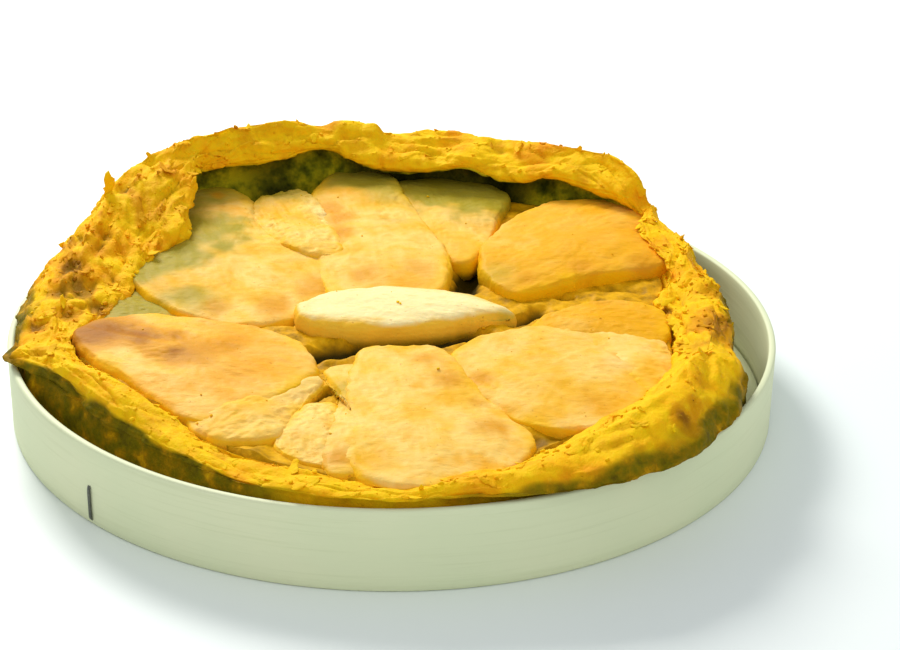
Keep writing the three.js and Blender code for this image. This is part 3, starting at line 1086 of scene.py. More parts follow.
        spots = smooth((layered_cloud(long_way, 10.0, 81, 4) - 0.15) / 0.5)
        leaf_tip = leafy * smooth((leaf - 0.72) / 0.28)
        raised = smooth((flake + chip - 0.3) / 1.1) * rough
        height = smooth((rings[..., 2] - self.rim - 6.0) / 26.0)
        self.marks = {
            "bake": 0.30 * raised + 0.34 * spots + 0.22 * leaf_tip + 0.14 * height + brown,
            # deep: painted shade in creases, pits and between raised flakes.
            "deep": 0.5 * crease**9 + 0.8 * pitted / 3.0 + 0.45 * smooth(-(flake + chip) / 1.5) * rough,
            # The outer side: browner crust and painted shade.
            "outer_bake_and_shade": self.outer_bake_and_shade(degrees, long_way),
            # Painted shade under the fold.
            "fold_shadow": self.fold_shadow(degrees, rows),
        }
        above = smooth((rings[..., 2] - self.rim + 4.0) / 6.0)
        open_air = above * smooth((rows - 6 - np.arange(rows))[:, None] / 10.0)
        return self.kept_in_dish(rings + normals * (lift * open_air)[..., None])

    def outer_bake_and_shade(self, degrees: np.ndarray, long_way: np.ndarray) -> np.ndarray:
        """Marks the crust's outer side, which is browner and carries painted shade.

        Args:
            degrees: the angles round the shell.
            long_way: the points, drawn out round the shell.

        Returns:
            A value from 0 to 1 for each point.
        """
        last_row, fade = 32.0, 14.0
        shade = np.clip(self.around(degrees, SHADED_SIDE) + 0.25 * layered_cloud(long_way, 9.0, 85, 3), 0, 1)
        below = (last_row - np.arange(len(long_way)))[:, None] / fade
        return shade * smooth(below + 0.5 * cloud(long_way, 6.0, 87))

    def top_rows(self) -> tuple[int, int]:
        """The row where the crust's upper side starts, and the one where its lip turns under."""
        return sum(self.steps[:5]), sum(self.steps[:9])

    def fold_shadow(self, degrees: np.ndarray, rows: int) -> np.ndarray:
        """Marks the painted shade under the fold.

        Args:
            degrees: the angles round the shell.
            rows: the number of rows across its section.

        Returns:
            A value for each row and angle: 0 in the open, 1 under the fold, 2 where it is darkest.
        """
        _, start = self.top_rows()
        under = smooth((np.arange(rows)[:, None] - start) / 9.0)
        hollow = smooth((self.station_values(degrees)["hollow"][None] - 2.0) / 4.0)
        dark = smooth((degrees[None] - 58.0) / 8.0) * smooth((104.0 - degrees[None]) / 8.0)
        dark = dark + 0.7 * bump_at(np.abs(degrees[None] - 114.0), 11.0)
        return under * hollow * (0.9 + 0.9 * dark)

    def around(self, degrees: np.ndarray, zones: tuple[tuple[float, float], ...]) -> np.ndarray:
        """Reads a measure given at a few angles at any angle between them."""
        at = np.array([place for place, _ in zones], float)
        return ring_spline(at, np.array([share for _, share in zones]), degrees)

    def pit_depth(self, rings: np.ndarray) -> tuple[np.ndarray, np.ndarray]:
        """Adds up the crust's pits.

        Args:
            rings: the skin's points.

        Returns:
            How deep and how brown each point is.
        """
        depth, brown = np.zeros(rings.shape[:2]), np.zeros(rings.shape[:2])
        ragged = 0.35 * layered_cloud(rings, 5.0, 91, 3)
        for pit in self.pits:
            away = np.hypot(rings[..., 0] - pit.x, rings[..., 1] - pit.y)
            near = bump_at(away * (1.0 + ragged), pit.reach)
            depth += pit.depth * near
            brown += pit.brown * near
        return depth, brown

    def kept_in_dish(self, rings: np.ndarray) -> np.ndarray:
        """Holds the skin clear of the dish's wall below the rim.

        Args:
            rings: the skin's points.

        Returns:
            The points, drawn in where they would touch the wall.
        """
        reach = np.hypot(rings[..., 0], rings[..., 1])
        inside = rings[..., 2] < self.rim + self.wall_top
        limit = np.where(inside, np.minimum(reach, self.side_limit), reach)
        held = rings.copy()
        held[..., :2] *= (limit / np.maximum(reach, 1e-6))[..., None]
        return held

    def build(self, wardrobe: Wardrobe) -> None:
        """Builds and dresses the shell.

        Args:
            wardrobe: dresses each piece in its finish.
        """
        self.skin = self.baked_skin()
        points, faces, ends = closed_skin(self.skin)
        marks = {key: np.concatenate([mark.ravel(), [0.0, 0.0]]) for key, mark in self.marks.items()}
        shell = make_piece("pastry_shell", points, faces, marks, ends)
        wardrobe.dress(shell, Look.PASTRY, "pastry")


# ---------------------------------------------------------------- the apples


@dataclass(frozen=True)
class Patch:
    """A patch on a slice, of browning or of greenish tint with painted shadow: where in plan, how wide and
    how strong.
    """

    x: float
    y: float
    reach: float
    strength: float


@dataclass(frozen=True)
class Slice:
    """One apple slice: its outline in plan, and how thick, high, tilted and bulged it lies."""

    name: str
    outline: tuple[tuple[float, float], ...]
    thick: float
    top: float
    rise: tuple[float, float]
    crown: float
    warmth: float = 0.3
    patches: tuple[Patch, ...] = ()
    # Patches of greenish tint: partly green flesh, partly painted shadow cast by the crust.
    olive_and_shade: tuple[Patch, ...] = ()
    crumbly: float = 1.0
    gold: float = 0.0
    soft: float = 1.0

    def middle(self) -> np.ndarray:
        """The mean of the outline's corners."""
        return np.array(self.outline, float).mean(axis=0)

    def level(self, x: np.ndarray, y: np.ndarray) -> np.ndarray:
        """Height above the rim of the slice's tilted upper side at some places."""
        middle = self.middle()
        return self.top + self.rise[0] * (x - middle[0]) + self.rise[1] * (y - middle[1])

    def edge(self, columns: int) -> np.ndarray:
        """Runs a smooth closed curve through the corners, anticlockwise, in even steps.

        Args:
            columns: how many steps.

        Returns:
            The curve's points in plan.
        """
        corners = np.array(self.outline, float)
        following = np.roll(corners, -1, axis=0)
        if np.sum(corners[:, 0] * following[:, 1] - corners[:, 1] * following[:, 0]) < 0:
            corners = corners[::-1]
        fine = 40
        looped = np.concatenate([corners[-2:], corners, corners[:3]])[None]
        dense = row_spline(looped, [fine] * (looped.shape[1] - 1))[0]
        curve = dense[2 * fine : (2 + len(corners)) * fine + 1]
        gaps = np.linalg.norm(np.diff(curve, axis=0), axis=-1)
        length = np.concatenate([[0.0], np.cumsum(gaps)])
        wanted = np.arange(columns) / columns * length[-1]
        return np.stack([np.interp(wanted, length, curve[:, k]) for k in range(2)], axis=-1)


SLICES = (
    # Its low warmth paints its top pale cream: paler flesh and a painted highlight.
    Slice("centre_wedge", ((-32, -10), (-20, 2), (2, 5), (24, 1.5), (40, -12), (28, -15.5), (14, -21),
                           (-4, -25), (-20, -24), (-30, -18)), 10, 9.5, (-0.02, 0.0), 1.6, -0.6,
          olive_and_shade=(Patch(38, -14, 8, 0.5),), crumbly=0.6, soft=2.2),
    Slice("centre_arch", ((-31, 88), (-22, 112), (-6, 113), (9, 68), (17, 44), (18.5, 26), (14, 6),
                          (-18, 0), (-29, 48)), 9, 9, (0.03, 0.04), 2, 0.45,
          (Patch(-20, 66, 13, 0.7), Patch(-20, 52, 12, 0.7), Patch(-24, 78, 9, 0.6),
           Patch(8, 22, 14, 0.4), Patch(-10, 18, 14, 0.4)),
          (Patch(-12, 112, 46, 1.2), Patch(-2, 86, 26, 0.5))),
    Slice("right_back", ((32, 26), (38, 56), (60, 84), (88, 82), (101, 49), (98, 31), (66, 18),
                         (42, 6)), 10, 9, (0, 0.02), 2.5, 0.45,
          (Patch(84, 62, 22, 0.4), Patch(96, 50, 14, 0.4), Patch(66, 22, 12, 0.6),
           Patch(46, 14, 10, 0.5), Patch(88, 28, 12, 0.6)),
          (Patch(36, 18, 18, 0.5),), gold=0.75),
    Slice("right_front", ((18, -44), (31, -27), (62, -24), (80, -54), (77, -72), (60, -86),
                          (40, -84), (25, -61)), 9, 6, (0, 0.03), 2, 0.15,
          (Patch(62, -74, 16, 0.4), Patch(28, -58, 9, 0.6), Patch(36, -30, 8, 0.35),
           Patch(74, -44, 9, 0.35)), gold=0.3),
    Slice("front_centre", ((-10, -38), (4, -36), (16, -40), (32, -78), (41, -98), (28, -116),
                           (2, -120), (-12, -110), (-14, -75)), 9, 5, (0, 0.04), 2, 0.15,
          (Patch(10, -46, 12, 0.5), Patch(18, -60, 13, 0.45), Patch(30, -90, 14, 0.6),
           Patch(26, -74, 8, 0.5)), gold=0.15),
    Slice("left_front", ((-104, -28), (-90, -15), (-52, -18), (-36, -26), (-28, -38), (-26, -52),
                         (-38, -69), (-58, -83), (-82, -60)), 9, 6, (-0.02, 0.02), 2, 0.5,
          (Patch(-95, -28, 24, 1.25), Patch(-80, -34, 14, 0.6), Patch(-62, -41, 18, 0.6),
           Patch(-68, -50, 12, 0.4), Patch(-50, -34, 12, 0.4))),
    Slice("left_back", ((-94, 28), (-84, 74), (-72, 94), (-56, 88), (-48, 58), (-24, 34),
                        (-18, 8), (-44, -15), (-74, -6)), 9, 8, (-0.03, 0.04), 2, 0.35,
          (Patch(-24, 12, 16, 0.6), Patch(-40, -4, 14, 0.6), Patch(-66, 86, 8, 0.5),
           Patch(-60, -6, 10, 0.5)),
          (Patch(-70, 90, 34, 0.8), Patch(-82, 52, 40, 1.2), Patch(-86, 26, 28, 1.0),
           Patch(-70, 2, 18, 0.8))),
    Slice("back_wedge", ((-2, 100), (18, 110), (42, 98), (38, 72), (26, 34), (12, 50)),
          8, 8, (0, 0.03), 1.5, 0.1, (),
          (Patch(14, 108, 44, 1.3), Patch(38, 100, 46, 1.0)), gold=0.35),
    Slice("back_chunk", ((-52, 70), (-50, 88), (-36, 92), (-26, 70), (-20, 36), (-38, 42)),
          7, 9, (0, 0.02), 2, 0.0, (), (Patch(-46, 92, 24, 0.8),), 2.0, 0.2),
    Slice("right_strip", ((44, -25), (54, -12), (76, -2), (90, -8), (88, -28), (66, -27)),
          7, 7, (0, 0.05), 1.5, 0.5, (Patch(70, -4, 12, 0.4),), gold=0.9),
    Slice("right_end", ((60, -20), (86, -26), (90, -44), (82, -64), (70, -50)),
          7, 6, (0, 0.02), 1.5, 0.2, ()),
    Slice("front_sliver", ((-21, -49), (-12, -44), (-6, -70), (-8, -108), (-18, -112), (-21, -86),
                           (-16, -66)), 7, 4, (0, 0.02), 1.5, 0.2,
          (Patch(-16, -106, 9, 0.7),), (Patch(-14, -62, 16, 0.6),)),
    Slice("front_flake", ((-62, -80), (-38, -66), (-24, -56), (-30, -76), (-36, -92), (-52, -93)),
          6, 4, (0, 0.02), 1.5, 0.0, (), (), 1.5, 0.2),
    Slice("front_chunk", ((-32, -79), (-20, -70), (-14, -92), (-18, -106), (-34, -98)),
          6, 3.5, (0, 0.02), 2, 0.1, (Patch(-30, -92, 7, 0.4),), (), 1.9),
    Slice("left_strip", ((-102, 6), (-84, 16), (-60, 2), (-54, -12), (-84, -18), (-98, -8)),
          6, 4, (0, 0.02), 1, 0.0, (Patch(-66, -8, 10, 0.4),),
          (Patch(-88, 4, 40, 1.3),)),
)


@dataclass
class AppleSlices:
    """All the slices on top, each a soft flat slab with a worn edge and a steep side."""

    rim: float
    slices: tuple[Slice, ...] = SLICES
    spread: float = SLICE_SPREAD
    columns: int = 220
    rings_on_top: int = 46
    bare_rings: int = 12
    first_seed: int = 200
    seed_step: int = 37
    skins: list[np.ndarray] = field(default_factory=list)
    # The side from the bottom up, then the worn upper edge: how far inwards, and the share of depth.
    side: tuple[tuple[float, float], ...] = ((9.0, 1.0), (2.0, 1.0), (0.9, 0.93), (0.3, 0.76), (0.0, 0.56))
    worn_edge: tuple[tuple[float, float], ...] = (
        (0.0, 0.40), (0.12, 0.26), (0.38, 0.15), (0.8, 0.07), (1.3, 0.026), (1.9, 0.006), (2.7, 0.0))

    def make_slab(self, slab: Slice, seed: int) -> bpy.types.Object:
        """Builds one slice.

        Args:
            slab: the slice's measures.
            seed: sets its own unevenness.

        Returns:
            The slice's object.
        """
        edge = slab.edge(self.columns)
        along = unit(np.roll(edge, -1, axis=0) - np.roll(edge, 1, axis=0))
        outwards = np.stack([along[:, 1], -along[:, 0]], axis=-1)
        flat = with_height(edge)
        ragged = 1.0 * layered_cloud(flat, 11.0, seed, 3) + 0.35 * cloud(flat, 2.2, seed + 7)
        edge = edge + outwards * (self.spread + ragged)[:, None]
        insets, shares = np.array(self.side).T
        below = edge[None] - outwards[None] * insets[:, None, None]
        scales = 1.0 - 0.97 * np.linspace(0.0, 1.0, self.rings_on_top) ** 1.6
        middle = edge.mean(axis=0)
        above = middle + scales[:, None, None] * (edge - middle)[None]
        inward = np.linalg.norm(above[:, :, None] - edge[None, None], axis=-1).min(axis=-1)
        worn = slab.soft * np.clip(1.0 + 0.9 * layered_cloud(flat, 12.0, seed + 5, 2), 0.4, 1.7)
        depth = np.concatenate([
            np.repeat(shares[:, None], self.columns, axis=1),
            np.interp(inward / worn, *np.array(self.worn_edge).T)])
        plan = np.concatenate([below, above])
        dome = np.concatenate([np.zeros(len(insets)), slab.crown * (1.0 - scales**2)])
        height = slab.level(plan[..., 0], plan[..., 1]) + dome[:, None] - depth * slab.thick
        rings = with_height(plan, height + self.rim)
        inward = np.concatenate([np.zeros_like(below[..., 0]), inward])
        calm = np.concatenate([np.ones(len(insets)), smooth(scales / 0.35)])[:, None]
        rings, marks = self.weathered(rings, slab, depth, inward, calm, seed)
        # No crumb lies on the worn edge.
        self.skins.append(rings[len(insets) + self.bare_rings :])
        points, faces, ends = closed_skin(rings)
        both = {key: np.concatenate([mark.ravel(), [mark[0].mean(), mark[-1].mean()]])
                for key, mark in marks.items()}
        return make_piece(f"apple_{slab.name}_flesh", points, faces, both, ends)

    def weathered(self, rings: np.ndarray, slab: Slice, depth: np.ndarray, inward: np.ndarray,
                  calm: np.ndarray, seed: int) -> tuple[np.ndarray, dict[str, np.ndarray]]:
        """Dents and furrows a slice, and works out its warmth, its browning and its painted shade.

        Args:
            rings: the slice's points.
            slab: the slice's measures.
            depth: how far down its side each point lies, from 0 to 1.
            inward: how far each point lies inwards from the slice's edge.
            calm: fades the fine furrows out where the rings crowd together.
            seed: sets its own unevenness.

        Returns:
            The moved points, and the marks that the finish reads.
        """
        normals = grid_normals(rings)
        corners = np.array(slab.outline, float)
        way = np.linalg.svd(corners - corners.mean(axis=0))[2][0]
        grain = rings.copy()
        run = rings[..., 0] * way[0] + rings[..., 1] * way[1]
        cross = rings[..., 1] * way[0] - rings[..., 0] * way[1]
        grain[..., 0] = run * 0.25 + 2.0 * cloud(rings, 26.0, seed + 3)
        grain[..., 1] = cross
        share = np.where(depth < 0.05, 1.0, 0.6)
        dents = 1.15 * layered_cloud(rings, 24.0, seed + 11, 3)
        furrows = 0.42 * layered_cloud(grain, 4.0, seed + 17, 3)
        pores = 0.16 * cloud(rings, 1.6, seed + 19)
        furrows, pores = furrows * calm, pores * calm
        lift = (dents + furrows + pores) * share * slab.crumbly
        blotch = layered_cloud(rings, 15.0, seed + 23, 4)
        toast = 0.2 * smooth(blotch * 2.0) - 0.35 * furrows
        toast = toast + self.patched(rings, slab.patches, blotch)
        warmth = slab.warmth + 0.45 * layered_cloud(rings, 24.0, seed + 29, 3)
        side = smooth(depth / 0.2) + 0.75 * smooth(1.0 - inward / 11.0) * smooth(0.5 + 1.4 * blotch)
        # Painted shade, darker towards the foot of the side.
        deep = smooth((depth - 0.35) / 0.5)
        # Greenish tint with painted shadow from the crust.
        olive_and_shade = self.patched(rings, slab.olive_and_shade, blotch)
        marks = {"toast": toast, "warmth": np.clip(warmth, -0.6, 1.0), "side": side, "deep": deep,
                 "olive_and_shade": olive_and_shade, "gold": np.clip(slab.gold * (1.0 + 0.8 * blotch), 0.0, 1.0)}
        return rings + normals * lift[..., None], marks

    def patched(self, rings: np.ndarray, patches: tuple[Patch, ...], blotch: np.ndarray) -> np.ndarray:
        """Adds up ragged patches over a slice.

        Args:
            rings: the slice's points.
            patches: the patches.
            blotch: what makes them ragged.

        Returns:
            How strong the patches are at each point.
        """
        total = np.zeros(rings.shape[:2])
        for patch in patches:
            away = np.hypot(rings[..., 0] - patch.x, rings[..., 1] - patch.y)
            total += patch.strength * bump_at(away * (1.0 + 0.7 * blotch), patch.reach)
        return total

    def build(self, wardrobe: Wardrobe) -> None:
        """Builds and dresses every slice.

        Args:
            wardrobe: dresses each piece in its finish.
        """
        for order, slab in enumerate(self.slices):
            piece = self.make_slab(slab, self.first_seed + self.seed_step * order)
            wardrobe.dress(piece, Look.APPLE, f"apple_{slab.name}")


@dataclass(frozen=True)
class Gap:
    """A line in plan where the compote has sunk between slices or, where depth is negative, risen."""

    start: tuple[float, float]
    end: tuple[float, float]
    reach: float
    depth: float


GAPS = (
    Gap((-25, -36), (-10, -31), 8.0, 7.0),
    Gap((-6, -31), (26, -22), 7.0, 7.0),
    Gap((25, 16), (31, 62), 8.0, 7.0),
    Gap((28, -58), (34, -70), 3.0, 4.0),
    Gap((-56, 100), (-16, 118), 12.0, 6.0),
    Gap((-40, 56), (-30, 46), 3.0, 4.0),
    Gap((54, 12), (60, 8), 6.0, 4.5),
    Gap((74, 15), (86, 13), 6.0, 2.6),
    Gap((42, -12), (50, -4), 5.0, 5.0),
    Gap((-36, -12), (-46, -8), 5.0, 5.0),
    Gap((-32, -75), (-20, -60), 3.0, 5.0),
    Gap((52, 96), (92, 82), 13.0, -6.0),
    Gap((62, 10), (96, 6), 15.0, -2.2),
    Gap((42, -94), (50, -90), 8.0, 2.6),
)


@dataclass
class AppleBed:
    """The soft cooked apple and juice that fill the shell up to the slices and between them."""

    rim: float
    shell: PastryShell
    slices: tuple[Slice, ...] = SLICES
    gaps: tuple[Gap, ...] = GAPS
    columns: int = 480
    rows: int = 120
    bottom: float = -9.0
    open_level: float = 4.5
    below_slices: float = 1.4
    around_slices: float = 9.0
    edge_steps: int = 56
    skin: np.ndarray = field(default_factory=lambda: np.zeros((0, 0, 3)))

    def distance(self, slab: Slice, plan: np.ndarray) -> np.ndarray:
        """Measures how far each place lies from a slice, with 0 on it.

        Args:
            slab: the slice.
            plan: places in plan.

        Returns:
            The distances.
        """
        edge = slab.edge(self.edge_steps)
        following = np.roll(edge, -1, axis=0)
        nearest = np.full(plan.shape[:2], 1e9)
        inside = np.zeros(plan.shape[:2], bool)
        for (x0, y0), (x1, y1) in zip(edge, following):
            nearest = np.minimum(nearest, np.hypot(plan[..., 0] - x0, plan[..., 1] - y0))
            spans = (y0 > plan[..., 1]) != (y1 > plan[..., 1])
            crossing = x0 + (plan[..., 1] - y0) / ((y1 - y0) or 1e-9) * (x1 - x0)
            inside ^= spans & (plan[..., 0] < crossing)
        return np.where(inside, 0.0, np.maximum(nearest - SLICE_SPREAD, 0.0))

    def surface(self, plan: np.ndarray) -> tuple[np.ndarray, np.ndarray]:
        """Works out the compote's surface.

        Args:
            plan: places in plan.

        Returns:
            The heights above the rim, and how deep in a gap each place lies.
        """
        level = np.full(plan.shape[:2], self.open_level)
        for slab in self.slices:
            away = self.distance(slab, plan)
            under = slab.level(plan[..., 0], plan[..., 1]) - self.below_slices + 0.3 * away
            level = np.where(away < self.around_slices, np.minimum(level, under), level)
        flat = with_height(plan)
        sunk = np.zeros(plan.shape[:2])
        for gap in self.gaps:
            start, end = np.array(gap.start), np.array(gap.end)
            run = end - start
            share = np.clip(((plan - start) @ run) / (run @ run), 0.0, 1.0)
            away = np.linalg.norm(plan - start - share[..., None] * run, axis=-1)
            away = away * (1.0 + 0.3 * cloud(flat, 4.0, 331))
            bump = gap.depth * bump_at(away, gap.reach)
            sunk = np.maximum(sunk, bump) if gap.depth > 0 else sunk + bump
        lumps = 0.9 * layered_cloud(flat, 9.0, 311, 4) + 0.25 * cloud(flat, 2.2, 317)
        return level + lumps - sunk, np.maximum(sunk, 0.0) / 6.0

    def build(self, wardrobe: Wardrobe) -> None:
        """Builds and dresses the bed.

        Args:
            wardrobe: dresses each piece in its finish.
        """
        degrees = degrees_round(self.columns)
        values = self.shell.station_values(degrees)
        reach = values["lip_r"] + 0.45 * values["hollow"] - 0.3
        scales = np.concatenate([[0.5, 1.0], np.linspace(1.0, 0.02, self.rows)])
        angle = np.radians(degrees)
        plan = scales[:, None, None] * (reach[:, None] * np.stack([np.cos(angle), np.sin(angle)], -1))
        height, sunk = self.surface(plan)
        height[:2] = self.bottom
        rings = with_height(plan, height + self.rim)
        # No crumb lies on the hidden side, or where the rows crowd together in the middle.
        self.skin = rings[3:-10]
        points, faces, ends = closed_skin(rings)
        # deep: painted shade in the gaps between slices.
        marks = {"deep": np.concatenate([sunk.ravel(), [0.0, 0.0]])}
        bed = make_piece("apple_bed", points, faces, marks, ends)
        wardrobe.dress(bed, Look.COMPOTE, "filling")


@dataclass
class LooseCrust:
    """Loose flakes and crumbs of crust, one joined mesh for each kind."""

    shell: PastryShell
    slices: AppleSlices
    bed: AppleBed
    flakes: int = 480
    crumbs: int = 520
    crust_share: float = 0.84
    bed_shares: int = 4
    apple_crumb_scale: float = 0.65
    standing: tuple[float, float] = (-103.0, 56.0)
    standing_size: float = 3.4
    standing_lift: float = 2.5
    seed: int = 11
    sides: int = 12
    crumb_sides: int = 8

    def shell_spots(self, rng: np.random.Generator,
                    count: int) -> tuple[np.ndarray, np.ndarray, np.ndarray]:
        """Picks places on top of the crust, more of them where it is flaky.

        Args:
            rng: the seeded source of chance.
            count: how many places.

        Returns:
            The places, their unit normals and how brown the crust is there.
        """
        skin = self.shell.skin
        normals = grid_normals(skin)
        degrees = degrees_round(skin.shape[1])
        start, stop = self.shell.top_rows()
        upward = np.clip(normals[start:stop, :, 2], 0.0, 1.0)
        weight = (self.shell.around(degrees, FLAKINESS)[None] + 0.1) * (upward + 0.15)
        picked = rng.choice(weight.size, count, p=(weight / weight.sum()).ravel())
        row, column = np.unravel_index(picked, weight.shape)
        row = row + start
        return skin[row, column], normals[row, column], self.shell.marks["bake"][row, column]

    def frames(self, rng: np.random.Generator, normals: np.ndarray,
               lift: np.ndarray) -> tuple[np.ndarray, np.ndarray, np.ndarray]:
        """Turns each piece its own way on the surface and lifts one edge.

        Args:
            rng: the seeded source of chance.
            normals: the surface's unit normals.
            lift: how far each piece is tipped up, in radians.

        Returns:
            Three unit axes for each piece: along, across and out.
        """
        along = unit(np.cross(normals, rng.normal(size=normals.shape)))
        across = np.cross(normals, along)
        cos, sin = np.cos(lift)[:, None], np.sin(lift)[:, None]
        return along, across * cos + normals * sin, normals * cos - across * sin

    def placed(self, spots: np.ndarray, axes: tuple[np.ndarray, ...],
               offsets: tuple[np.ndarray, ...]) -> np.ndarray:
        """Lays one ring of points of each piece on its own spot.

        Args:
            spots: the pieces' places.
            axes: their three unit axes.
            offsets: how far each point lies along each axis.

        Returns:
            The ring's points, for each piece.
        """
        ring = spots[:, None]
        for axis, offset in zip(axes, offsets):
            ring = ring + offset[..., None] * axis[:, None]
        return ring

    def make_flakes(self, rng: np.random.Generator) -> bpy.types.Object:
        """Builds the thin curled flakes that have come half loose.

        Args:
            rng: the seeded source of chance.

        Returns:
            The joined flakes.
        """
        spots, normals, browning = self.shell_spots(rng, self.flakes)
        size = 0.6 + 1.8 * rng.random(self.flakes) ** 2.6
        lift = np.radians(1.0 + 9.0 * rng.random(self.flakes))
        skin = self.shell.skin
        away = np.hypot(skin[..., 0] - self.standing[0], skin[..., 1] - self.standing[1])
        spots[0] = skin.reshape(-1, 3)[np.argmin(away - 0.5 * skin[..., 2])]
        size[0] = self.standing_size
        along, across, out = self.frames(rng, normals, lift)
        spots[0] += (0.0, 0.0, self.standing_lift)
        along[0], across[0], out[0] = (0.1, 0.1, 0.99), (0.8, 0.6, -0.14), (-0.6, 0.8, 0.0)
        turn = np.arange(self.sides) / self.sides * TURN
        waves = sum(
            strength * np.sin(order * turn[None] + TURN * rng.random((self.flakes, 1)))
            for order, strength in ((2, 0.22), (3, 0.2), (5, 0.12)))
        radius = size[:, None] * (1.0 + waves)
        curl = 0.05 + 0.1 * rng.random((self.flakes, 1))
        rings = []
        for scale, rise in ((0.5, -0.3), (0.9, -0.28), (1.0, -0.12), (0.88, 0.02), (0.5, 0.1)):
            u = 1.35 * scale * radius * np.cos(turn)
            v = 0.75 * scale * radius * np.sin(turn)
            w = rise + curl * u**2 / size[:, None]
            ring = self.placed(spots, (along, across, out), (u, v, w))
            rings.append(ring + (0.4 * size * np.sin(lift))[:, None, None] * normals[:, None])
        bake = browning - 0.05 + 0.25 * rng.random(self.flakes)
        return self.joined("pastry_flakes", np.stack(rings, axis=1), bake)

    def make_crumbs(self, rng: np.random.Generator) -> bpy.types.Object:
        """Builds the small crumbs on the crust, the slices and the compote.

        Args:
            rng: the seeded source of chance.

        Returns:
            The joined crumbs.
        """
        on_crust = int(self.crust_share * self.crumbs)
        spots, normals, browning = self.shell_spots(rng, on_crust)
        places, ways = [spots], [normals]
        share = (self.crumbs - on_crust) // (len(self.slices.skins) + self.bed_shares)
        wanted = [(skin, share) for skin in self.slices.skins] + [(self.bed.skin, self.bed_shares * share)]
        for skin, count in wanted:
            flat = rng.integers(0, skin.shape[0] * skin.shape[1], count)
            places.append(skin.reshape(-1, 3)[flat])
            ways.append(grid_normals(skin).reshape(-1, 3)[flat])
        spots, normals = np.concatenate(places), np.concatenate(ways)
        count = len(spots)
        size = 0.22 + 0.6 * rng.random(count) ** 2.5
        size[on_crust:] *= self.apple_crumb_scale
        axes = self.frames(rng, normals, np.zeros(count))
        turn = np.arange(self.crumb_sides) / self.crumb_sides * TURN
        rings = []
        for pitch in (-0.9, -0.3, 0.35, 0.9):
            radius = size[:, None] * math.cos(pitch) * (0.8 + 0.4 * rng.random((count, self.crumb_sides)))
            u, v = 1.3 * radius * np.cos(turn), radius * np.sin(turn)
            w = (size * (0.45 + 0.7 * math.sin(pitch)))[:, None] + 0.0 * u
            rings.append(self.placed(spots, axes, (u, v, w)))
        bake = 0.2 + 0.4 * rng.random(count)
        bake[:on_crust] = browning + 0.3 * rng.random(on_crust)
        return self.joined("pastry_crumbs", np.stack(rings, axis=1), bake)

    def joined(self, name: str, stacks: np.ndarray, bake: np.ndarray) -> bpy.types.Object:
        """Joins many small closed skins into one mesh.

        Args:
            name: the piece's name.
            stacks: for each small piece, its rings of points.
            bake: how brown each small piece is.

        Returns:
            The joined object.
        """
        points, faces, first, last = [], [], [], []
        start = 0
        for stack in stacks:
            own_points, own_faces, (bottom, top) = closed_skin(stack)
            points.append(own_points)
            faces.append(own_faces + start)
            first.append(bottom + start)
            last.append(top + start)
            start += len(own_points)
        marks = {"bake": np.repeat(bake, len(points[0]))}
        ends = (np.concatenate(first), np.concatenate(last))
        return make_piece(name, np.concatenate(points), np.concatenate(faces), marks, ends)

    def build(self, wardrobe: Wardrobe) -> None:
        """Builds and dresses the flakes and the crumbs.

        Args:
            wardrobe: dresses each piece in its finish.
        """
        rng = np.random.default_rng(self.seed)
        wardrobe.dress(self.make_flakes(rng), Look.PASTRY)
        wardrobe.dress(self.make_crumbs(rng), Look.PASTRY)


# ---------------------------------------------------------------- the studio


@dataclass(frozen=True)
class SoftLight:
    """A square light box: where it stands, how big and how strong it is."""

    name: str
    place: tuple[float, float, float]
    side: float
    watts: float
    colour: tuple[float, float, float] = (1.0, 1.0, 1.0)


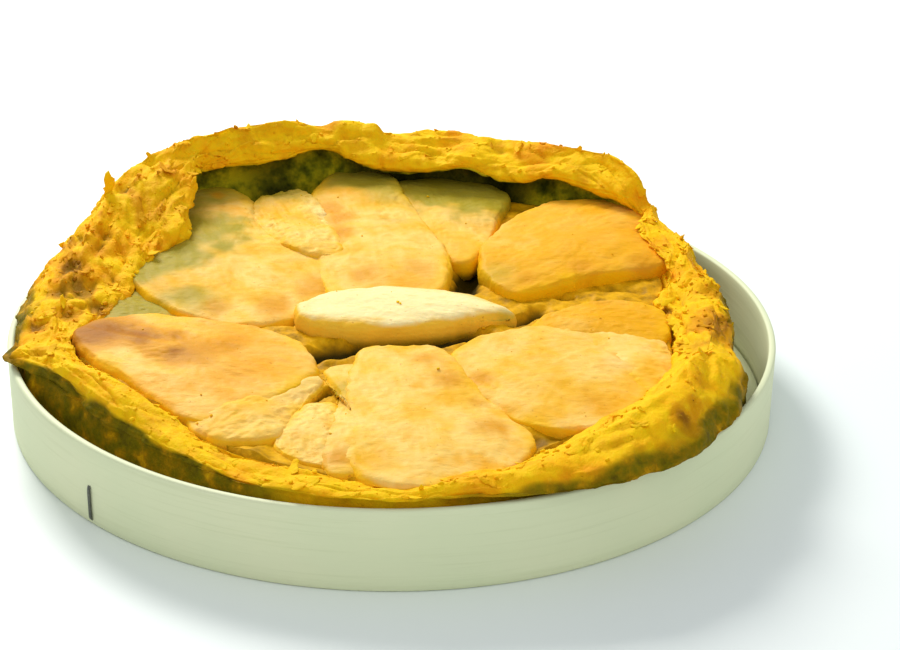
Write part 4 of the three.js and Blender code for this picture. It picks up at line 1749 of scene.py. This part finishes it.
@dataclass
class Studio:
    """The plain pale floor, the soft lights and the camera."""

    rim: float
    camera_back: float = 622.0
    camera_up: float = 291.0
    pan: float = 1.79
    pitch: float = 25.26
    roll: float = 1.0
    lens: float = 80.0
    floor_half: float = 6.0
    floor_gap: float = 0.0002
    room_colour: tuple[float, float, float, float] = (0.93, 0.98, 1.0, 1.0)
    room_strength: float = 0.60
    lights: tuple[SoftLight, ...] = (
        SoftLight("key_box", (-0.42, 0.96, 0.82), 0.45, 18.0, (1.0, 0.99, 0.94)),
        SoftLight("front_box", (0.25, -0.9, 0.9), 1.1, 2.0, (0.95, 1.0, 1.0)),
    )

    def add_camera(self) -> None:
        """Adds the camera, looking down at the tart from the front."""
        pan, pitch, roll = (math.radians(a) for a in (self.pan, self.pitch, self.roll))
        ahead = Vector((math.sin(pan) * math.cos(pitch), math.cos(pan) * math.cos(pitch), -math.sin(pitch)))
        level = Vector((math.cos(pan), -math.sin(pan), 0.0))
        upright = level.cross(ahead)
        right = math.cos(roll) * level + math.sin(roll) * upright
        upwards = -math.sin(roll) * level + math.cos(roll) * upright
        turn = Matrix((right, upwards, -ahead)).transposed().to_4x4()
        data = bpy.data.cameras.new("camera")
        data.lens = self.lens
        data.clip_start = 0.01
        camera = bpy.data.objects.new("camera", data)
        place = Vector((0.0, -self.camera_back, self.camera_up + self.rim)) * MM
        camera.matrix_world = Matrix.Translation(place) @ turn
        bpy.context.scene.collection.objects.link(camera)
        bpy.context.scene.camera = camera

    def add_lights(self) -> None:
        """Adds the light boxes, aimed at the tart, and the white surroundings."""
        for box in self.lights:
            data = bpy.data.lights.new(box.name, "AREA")
            data.shape = "SQUARE"
            data.size = box.side
            data.energy = box.watts
            data.color = box.colour
            lamp = bpy.data.objects.new(box.name, data)
            place = Vector(box.place)
            aim = (Vector((0.0, 0.0, self.rim * MM)) - place).to_track_quat("-Z", "Y")
            lamp.matrix_world = Matrix.Translation(place) @ aim.to_matrix().to_4x4()
            bpy.context.scene.collection.objects.link(lamp)
        world = bpy.data.worlds.new("white_room")
        world.use_nodes = True
        room = {"Color": self.room_colour, "Strength": self.room_strength}
        fill(world.node_tree, world.node_tree.nodes["Background"], room)
        bpy.context.scene.world = world

    def add_floor(self) -> None:
        """Adds the floor, just under the dish."""
        mesh = bpy.data.meshes.new("floor")
        half = self.floor_half
        mesh.from_pydata([(-half, -half, 0), (half, -half, 0), (half, half, 0), (-half, half, 0)], [],
                         [(0, 1, 2, 3)])
        floor = bpy.data.objects.new("floor", mesh)
        floor.location.z = -self.floor_gap
        floor.data.materials.append(StudioFloor().make())
        bpy.context.scene.collection.objects.link(floor)

    def build(self) -> None:
        """Sets up the whole studio."""
        self.add_camera()
        self.add_lights()
        self.add_floor()
        bpy.context.scene.view_settings.view_transform = "Standard"
        LOG.info("studio: %d light boxes, floor and camera", len(self.lights))


# ---------------------------------------------------------------- the whole


def main() -> None:
    """Builds the tart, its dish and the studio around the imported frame."""
    logging.basicConfig(level=logging.INFO, format="%(name)s: %(message)s")
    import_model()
    wardrobe = Wardrobe()
    dish = Dish()
    dish.build(wardrobe)
    pastry_low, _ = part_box("pastry")
    side_limit = dish.radius - dish.veneer - WALL_GAP
    shell = PastryShell(rim=dish.height, floor=pastry_low[2] / MM, side_limit=side_limit)
    shell.build(wardrobe)
    bed = AppleBed(rim=dish.height, shell=shell)
    bed.build(wardrobe)
    slices = AppleSlices(rim=dish.height)
    slices.build(wardrobe)
    LooseCrust(shell=shell, slices=slices, bed=bed).build(wardrobe)
    Studio(rim=dish.height).build()


if __name__ == "__main__":
    main()
